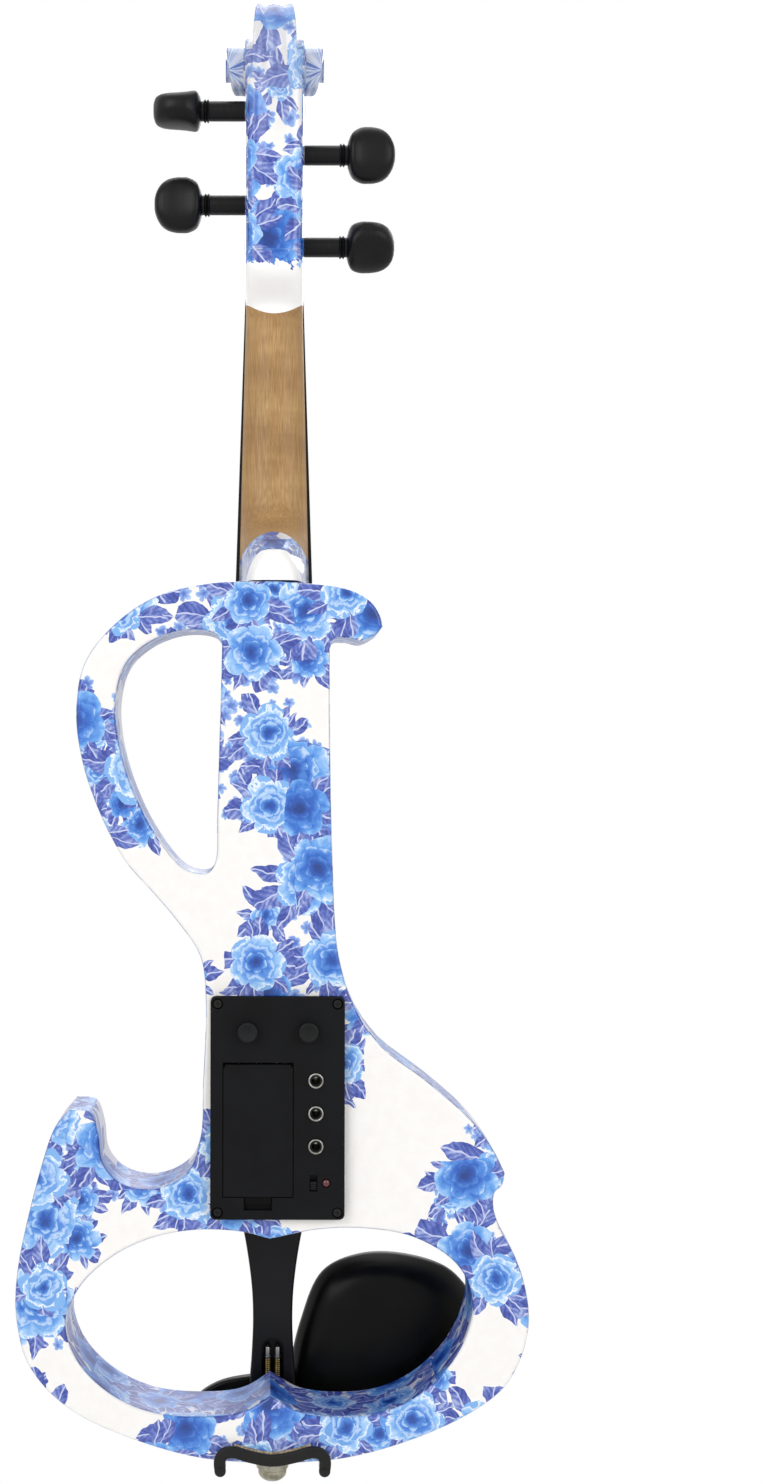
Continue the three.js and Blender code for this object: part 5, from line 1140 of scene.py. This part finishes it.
for side, k in (("left", -1), ("right", 1)):
    nut = [(1.0, 0), (1.45, 0), (1.7, 0.25)]
    for thread in range(9):
        nut += [(1.7, 0.5 + thread * 0.85), (1.55, 0.85 + thread * 0.85)]
    nut += [(1.7, 8.3), (1.36, 8.8), (1.36, 12.2), (1.2, 12.5), (1.0, 12.5)]
    done(
        turned(nut, "+z", k * 2.15, 44.5, 22.5, 32, ring_shaped=True),
        "gut_nut_turned_" + side, gut_brass_painted_shade, "gut_nut_" + side, "brass", "tailgut_nut_" + side,
    )

for name, x in STRING_X.items():
    head = turned(
        [(1.5, 0), (1.5, 8.8), (2.7, 8.8), (3.0, 9.1), (3.0, 12.6), (2.7, 13.0), (0.03, 13.05)],
        "+y", x, 41.3, HOOK_Z - 16, 48,
    )
    grips = [bar(0.35, 8.4, 13.6, "+y", x + 3.12 * math.cos(a), 41.3, HOOK_Z - 16 + 3.12 * math.sin(a), 10)
             for a in (math.tau * k / 14 for k in range(14))]
    grips = joined(*grips)
    cut(head, grips)
    done(head, "knurled_tuner_screw_" + name, nickel, "tuner_screw_" + name, "nickel", "fine_tuner_screw_" + name)


# ---------------------------------------------------------------- chin rest

CUP = [
    (-1, -0.25), (-0.9, 0.28), (-0.68, 0.8), (-0.3, 0.99), (0.17, 0.99), (0.64, 0.81), (0.93, 0.38),
    (1, -0.08), (0.86, -0.46), (0.52, -0.68), (0, -0.82), (-0.52, -0.88), (-0.93, -0.7),
]
CUP_RINGS = [
    (0.02, 0), (0.3, 0.01), (0.5, 0.035), (0.66, 0.09), (0.8, 0.2), (0.91, 0.4), (0.98, 0.66), (1, 0.82), (1, 0.92),
    (0.965, 1), (0.92, 0.97), (0.78, 0.8),
    (0.5, 0.62), (0.25, 0.57), (0.02, 0.555),
]
cup_edge = spline([(u * 42, v * 39.5) for u, v in CUP], 104, ring=True)
REST_UNDER = TAIL_TOP + 1.6
CUP_LOW, CUP_RIM = BODY_THICK + 8.5, REST_UNDER + 5.6
cup_rings = [
    [at(50 + x * size, CUP_LOW + (CUP_RIM - CUP_LOW) * max(height, 0.0), 33 + z * size) for x, z in cup_edge]
    for size, height in stations(CUP_RINGS, 4)
]
cup = drawn_out(cup_rings)
ARM = [(0.5, 1), (-0.3, 0.95), (-0.7, 0.8), (-0.95, 0.52), (-1, 0.2), (-0.85, -0.06)]
arm_edge = spline([(u * 34, v * 21) for u, v in ARM], 40) + [(17, -0.06 * 21)]
arm = plate([arm_edge], REST_UNDER, REST_UNDER + 5.3, 1.2, 3)
EDGE_RISE = BODY_LONG * 0.008 / (BODY_HALF * 0.295) ** 2
BARREL_Z = EDGE_RISE * 21**2 * 0.9 - 2.2 - GAP
feet = []
for k in (-1, 1):
    x0, x1 = sorted((k * 15, k * 30))
    feet.append(block(x0, x1, BODY_THICK + 2.2, REST_UNDER + 0.6, BARREL_Z - 2.2, 13, 0.8, 3))
    feet.append(bar(0.95, 0, 14, "+y", k * 21, 23, BARREL_Z, 20))
done(joined(cup, arm, *feet), "dished_chin_rest", rest_black, "violin", "black_plastic", "chin_rest", angle=40)

for side, k in (("left", -1), ("right", 1)):
    barrel = turned(
        [(1.25, 0), (1.9, 0), (2.2, 0.3), (2.2, 28.7), (1.9, 29), (1.25, 29)], "+y", k * 21, 3, BARREL_Z, 32,
        ring_shaped=True,
    )
    cut(barrel, bar(0.8, -5, 5, "+z", k * 21, 17.5, BARREL_Z, 16))
    done(barrel, "turned_barrel_" + side, nickel, "barrel_" + side, "nickel", "clamp_barrel_" + side)


# ---------------------------------------------------------------- clamp bracket and end button

BRACKET = [
    (-1, None), (-1.01, 0.45), (-0.93, 0.88), (-0.76, 1), (-0.43, 0.7), (0, 0.46), (0.43, 0.7),
    (0.76, 1), (0.93, 0.88), (1.01, 0.45), (1, None),
]


def strip(shares, lift, half, steps):
    """The outline of a band that follows a bent line."""
    line = spline([(u * 21, BARREL_Z if v is None else v * 6.3 + lift) for u, v in shares], steps)
    left, right = [], []
    for i, (x, z) in enumerate(line):
        (x0, z0), (x1, z1) = line[max(i - 1, 0)], line[min(i + 1, len(line) - 1)]
        long = math.hypot(x1 - x0, z1 - z0)
        dx, dz = (x1 - x0) / long, (z1 - z0) / long
        left.append((x - dz * half, z + dx * half))
        right.append((x + dz * half, z - dx * half))
    return right + left[::-1]


BRACKET_Y = -GAP - 1 - GAP - 2
bracket = [plate([strip(BRACKET, 0, 2.3, 80)], BRACKET_Y, BRACKET_Y + 2, 0.5, 3)]
for k in (-1, 1):
    bracket.append(turned([(1.9, 0), (2.3, 0.4), (2.3, 2)], "+y", k * 21, BRACKET_Y, BARREL_Z, 32))
    bracket.append(bar(0.95, 1, 15.6, "+y", k * 21, BRACKET_Y, BARREL_Z, 20))
done(joined(*bracket), "bent_clamp_bracket", black_steel, "violin", "black_metal", "clamp_bracket", angle=40)
cork_strip = plate([strip(BRACKET[3:-3], 0.5, 2.3, 40)], -GAP - 1, -GAP, 0.15, 1)
done(cork_strip, "bracket_cork_strip", cork, "violin", "cork", "clamp_bracket_cork")

BUTTON = [
    (0.84, 0), (0.96, 0.05), (1, 0.14), (1, 0.4), (0.96, 0.46), (0.87, 0.5), (0.88, 0.6), (0.86, 0.7), (0.8, 0.79),
    (0.68, 0.88), (0.52, 0.95), (0.3, 0.985), (0.03, 1),
]
NECK_LONG = 2 * 0.7 + 2 * GAP
button = [(3.72, -17), (4, -GAP), (3.1, -GAP), (3.1, NECK_LONG)]
button += [(6.7 * u, NECK_LONG + (11.8 - NECK_LONG) * v) for u, v in BUTTON]
done(turned(button, "-z", 0, 17, 0, 56), "turned_end_button", tarnished, "violin", "nickel", "end_button")


# ---------------------------------------------------------------- control box

DOOR_X, DOOR_LOW, DOOR_HALF = PANEL_X - 7.8, PZ0 + 9.2, 14.0
HINGE_Y, HINGE_Z = PANEL_FACE + 1.7, PZ0 + 9.2 + 54 - 1.7 - GAP
OPEN_TOP = HINGE_Z + 1.7 + GAP
KNOB_Z = PANEL_Z + 31
KNOBS = {"left": ("volume_knob", PANEL_X - 12), "right": ("tone_knob", PANEL_X + 12.4)}
JACK_X = PANEL_X + 15.4
JACKS = {"line": PANEL_Z + 11.2, "headphone": PANEL_Z - 2, "input": PANEL_Z - 15.2}
SWITCH_X, SWITCH_Z = PANEL_X + 14.5, PANEL_Z - 30
LAMP_X = PANEL_X + 19.6
SCREWS = {
    "upper_left": (PX0 + 2.9, PZ1 - 2.9), "upper_right": (PX1 - 2.9, PZ1 - 2.9),
    "lower_left": (PX0 + 2.9, PZ0 + 2.9), "lower_right": (PX1 - 2.9, PZ0 + 2.9),
}
corner = []
for cx, cz, start in (
    (PX1 - 2.2, PZ1 - 2.2, 0), (PX0 + 2.2, PZ1 - 2.2, 90), (PX0 + 2.2, PZ0 + 2.2, 180), (PX1 - 2.2, PZ0 + 2.2, 270),
):
    for k in range(9):
        a = math.radians(start + 90 * k / 8)
        corner.append((cx + 2.2 * math.cos(a), cz + 2.2 * math.sin(a)))
face = plate([corner], PANEL_FACE, PANEL_BACK, 0.5, 3)
tools = [
    block(
        DOOR_X - DOOR_HALF - GAP, DOOR_X + DOOR_HALF + GAP, PANEL_FACE - 2, PANEL_FACE + 2 + GAP, DOOR_LOW - GAP,
        OPEN_TOP,
    ),
    block(
        DOOR_X - DOOR_HALF + 0.5, DOOR_X + DOOR_HALF - 0.5, PANEL_FACE - 2, PANEL_BACK + 2, DOOR_LOW + 0.5,
        OPEN_TOP - 0.01,
    ),
    block(DOOR_X - 5.7, DOOR_X + 5.7, PANEL_FACE - 2, PANEL_FACE + 2.4, DOOR_LOW - 5.4, DOOR_LOW + 0.6),
    bar(0.9, -15.7, 15.7, "+x", DOOR_X, HINGE_Y, HINGE_Z, 20),
    block(SWITCH_X - 1.6, SWITCH_X + 1.6, PANEL_FACE - 2, PANEL_BACK + 2, SWITCH_Z - 3.3, SWITCH_Z + 3.3),
    bar(1.8, -2, 6, "-y", LAMP_X, PANEL_BACK, SWITCH_Z, 28),
]
for _, x in KNOBS.values():
    tools.append(bar(2, -2, 6, "-y", x, PANEL_BACK, KNOB_Z, 28))
for z in JACKS.values():
    tools.append(bar(2.9, -2, 6, "-y", JACK_X, PANEL_BACK, z, 32))
for x, z in SCREWS.values():
    tools.append(turned([(2.2, -3), (2.2, GAP + 1.7), (1.3, GAP + 1.71), (1.3, 8)], "+y", x, PANEL_FACE, z, 28))
cut(face, *tools)
soften_edges(face, 0.12, 1, 60)
TRAY = (CAVITY[0] + GAP, CAVITY[1] - GAP, CAVITY[2] + GAP, CAVITY[3] - GAP)
BAY_RIGHT = DOOR_X + DOOR_HALF + GAP
BAY_TOP = OPEN_TOP + GAP
BAY_FLOOR = PANEL_FACE + 2 + 2 * GAP + 17 + GAP
walls = [
    block(TRAY[0], TRAY[0] + 1.2, PANEL_BACK - 0.3, 23, TRAY[2], TRAY[3]),
    block(TRAY[1] - 1.2, TRAY[1], PANEL_BACK - 0.3, 23, TRAY[2], TRAY[3]),
    block(TRAY[0] + 1, TRAY[1] - 1, PANEL_BACK - 0.3, 23, TRAY[2], TRAY[2] + 1.2),
    block(TRAY[0] + 1, TRAY[1] - 1, PANEL_BACK - 0.3, 23, TRAY[3] - 1.2, TRAY[3]),
    block(BAY_RIGHT, BAY_RIGHT + 1.2, PANEL_BACK - 0.3, 23, TRAY[2] + 0.6, BAY_TOP + 1.2),
    block(TRAY[0] + 0.6, BAY_RIGHT + 1.1, PANEL_BACK - 0.3, 23, BAY_TOP, BAY_TOP + 1.2),
    block(TRAY[0] + 0.6, BAY_RIGHT + 0.6, BAY_FLOOR, BAY_FLOOR + 1.2, TRAY[2] + 0.6, BAY_TOP + 0.6),
]
done(
    joined(face, *walls), "moulded_control_plate", panel_black, "violin", "black_plastic", "control_panel",
    flat_faces=True,
)

door = block(DOOR_X - DOOR_HALF, DOOR_X + DOOR_HALF, PANEL_FACE, PANEL_FACE + 2, DOOR_LOW, HINGE_Z, 0.25)
parts = [
    bar(1.45, -DOOR_HALF + 0.8, DOOR_HALF - 0.8, "+x", DOOR_X, HINGE_Y, HINGE_Z, 32),
    bar(0.6, -DOOR_HALF - 1.4, DOOR_HALF + 1.4, "+x", DOOR_X, HINGE_Y, HINGE_Z, 20),
    block(DOOR_X - 5.4, DOOR_X + 5.4, PANEL_FACE + 1.2, PANEL_FACE + 2.1, DOOR_LOW - 3.2, DOOR_LOW + 1.2, 0.15),
]
for k in range(3):
    z = DOOR_LOW - 2.7 + k * 0.9
    parts.append(block(DOOR_X - 4.6, DOOR_X + 4.6, PANEL_FACE + 0.95, PANEL_FACE + 1.5, z, z + 0.4, 0.12))
done(
    joined(door, *parts), "moulded_battery_door", panel_black, "door", "black_plastic", "battery_door", flat_faces=True,
)

for side, (body, x) in KNOBS.items():
    y = PANEL_FACE - GAP
    knob = turned(
        [
            (0, 3.5), (2, 3.5), (2, 0), (3.7, 0), (4, 0.3), (4, 4.5), (3.85, 4.85), (3.5, 5), (3.2, 4.96),
            (2.9, 4.85), (0, 4.78),
        ],
        "-y", x, y, KNOB_Z, 72,
    )
    grips = joined(*[
        bar(0.26, 0.9, 6, "-y", x + 4.12 * math.cos(a), y, KNOB_Z + 4.12 * math.sin(a), 8)
        for a in (math.tau * (k + 0.5) / 24 for k in range(24))
    ])
    cut(knob, grips)
    line = block(x - 0.35, x + 0.35, y - 5.22, y - 4.4, KNOB_Z + 1.3, KNOB_Z + 3.5, 0.12)
    done(joined(knob, line), "ribbed_knob_" + side, knob_black, body, "black_plastic", "knob_" + side, angle=40)

for use, z in JACKS.items():
    ring = turned(
        [
            (2.25, -0.6), (2.6, -0.6), (2.6, 4.9), (2.95, 4.9), (3.1, 5.05), (3.1, 5.4), (3.0, 5.6),
            (2.75, 5.68), (2.45, 5.6), (2.25, 5.35),
        ],
        "-y", JACK_X, GAP, z, 56, ring_shaped=True,
    )
    shell = block(JACK_X - 3.8, JACK_X + 3.8, GAP, 9.3, z - 3.8, z + 3.8, 0.2)
    cut(shell, bar(1.8, -2, 8.1, "+y", JACK_X, GAP, z, 32))
    done(joined(ring, shell), "plated_jack_" + use, nickel, "violin", "nickel", "jack_" + use)
    sleeve_in = turned(
        [(1.79, -8), (1.79, 0.5), (2.2, 0.5), (2.2, 5.15), (1.9, 5.2), (1.62, 4.8), (1.62, -8)], "-y", JACK_X, GAP, z,
        40, ring_shaped=True,
    )
    done(sleeve_in, "jack_liner_" + use, knob_black, "violin", "black_plastic")
    leaf = block(JACK_X - 0.5, JACK_X + 0.5, GAP - 4.6, GAP + 3, z + 1.0, z + 1.5, 0.12)
    done(leaf, "jack_contact_" + use, nickel, "violin", "nickel")

slide = block(SWITCH_X - 1.3, SWITCH_X + 1.3, PANEL_FACE + 0.8, GAP, SWITCH_Z - 3, SWITCH_Z + 0.4, 0.15)
cut(slide, *[
    block(
        SWITCH_X - 2, SWITCH_X + 2, PANEL_FACE, PANEL_FACE + 1.15, SWITCH_Z - 2.45 + k * 0.85,
        SWITCH_Z - 2.05 + k * 0.85,
    )
    for k in range(3)
])
# A thin shutter behind the slot keeps dust out wherever the slider stands
flange = block(SWITCH_X - 1.9, SWITCH_X + 1.9, PANEL_BACK + 0.05, GAP - 0.05, SWITCH_Z - 6.1, SWITCH_Z + 3.5, 0.05, 1)
done(
    joined(slide, flange), "ridged_switch_slider", knob_black, "slider", "black_plastic", "switch_slider",
    flat_faces=True,
)

dome = [(1.2, -9), (1.2, 0.3), (1.5, 0.3), (1.5, 3.9)]
dome += [
    (1.5 * math.cos(math.radians(a)), 3.9 + 0.9 * math.sin(math.radians(a)))
    for a in (12, 24, 36, 48, 60, 72, 84, 90)
]
done(turned(dome, "-y", LAMP_X, 0, SWITCH_Z, 40), "lamp_lens", lens, "violin", "red_lens", "power_light")

for place, (x, z) in SCREWS.items():
    y = PANEL_FACE + GAP
    screw = turned([(1.55, 0), (1.9, 0.35), (1.9, 1.4), (1, 1.41), (1, 11.5), (0.4, 12)], "+y", x, y, z, 32)
    cross = cut(
        block(x - 1.15, x + 1.15, y - 1, y + 0.6, z - 0.19, z + 0.19),
        block(x - 0.19, x + 0.19, y - 1, y + 0.6, z - 1.15, z + 1.15), operation="UNION",
    )
    cut(screw, cross)
    done(screw, "cross_slot_screw_" + place, black_steel, "violin", "black_metal", "panel_screw_" + place)
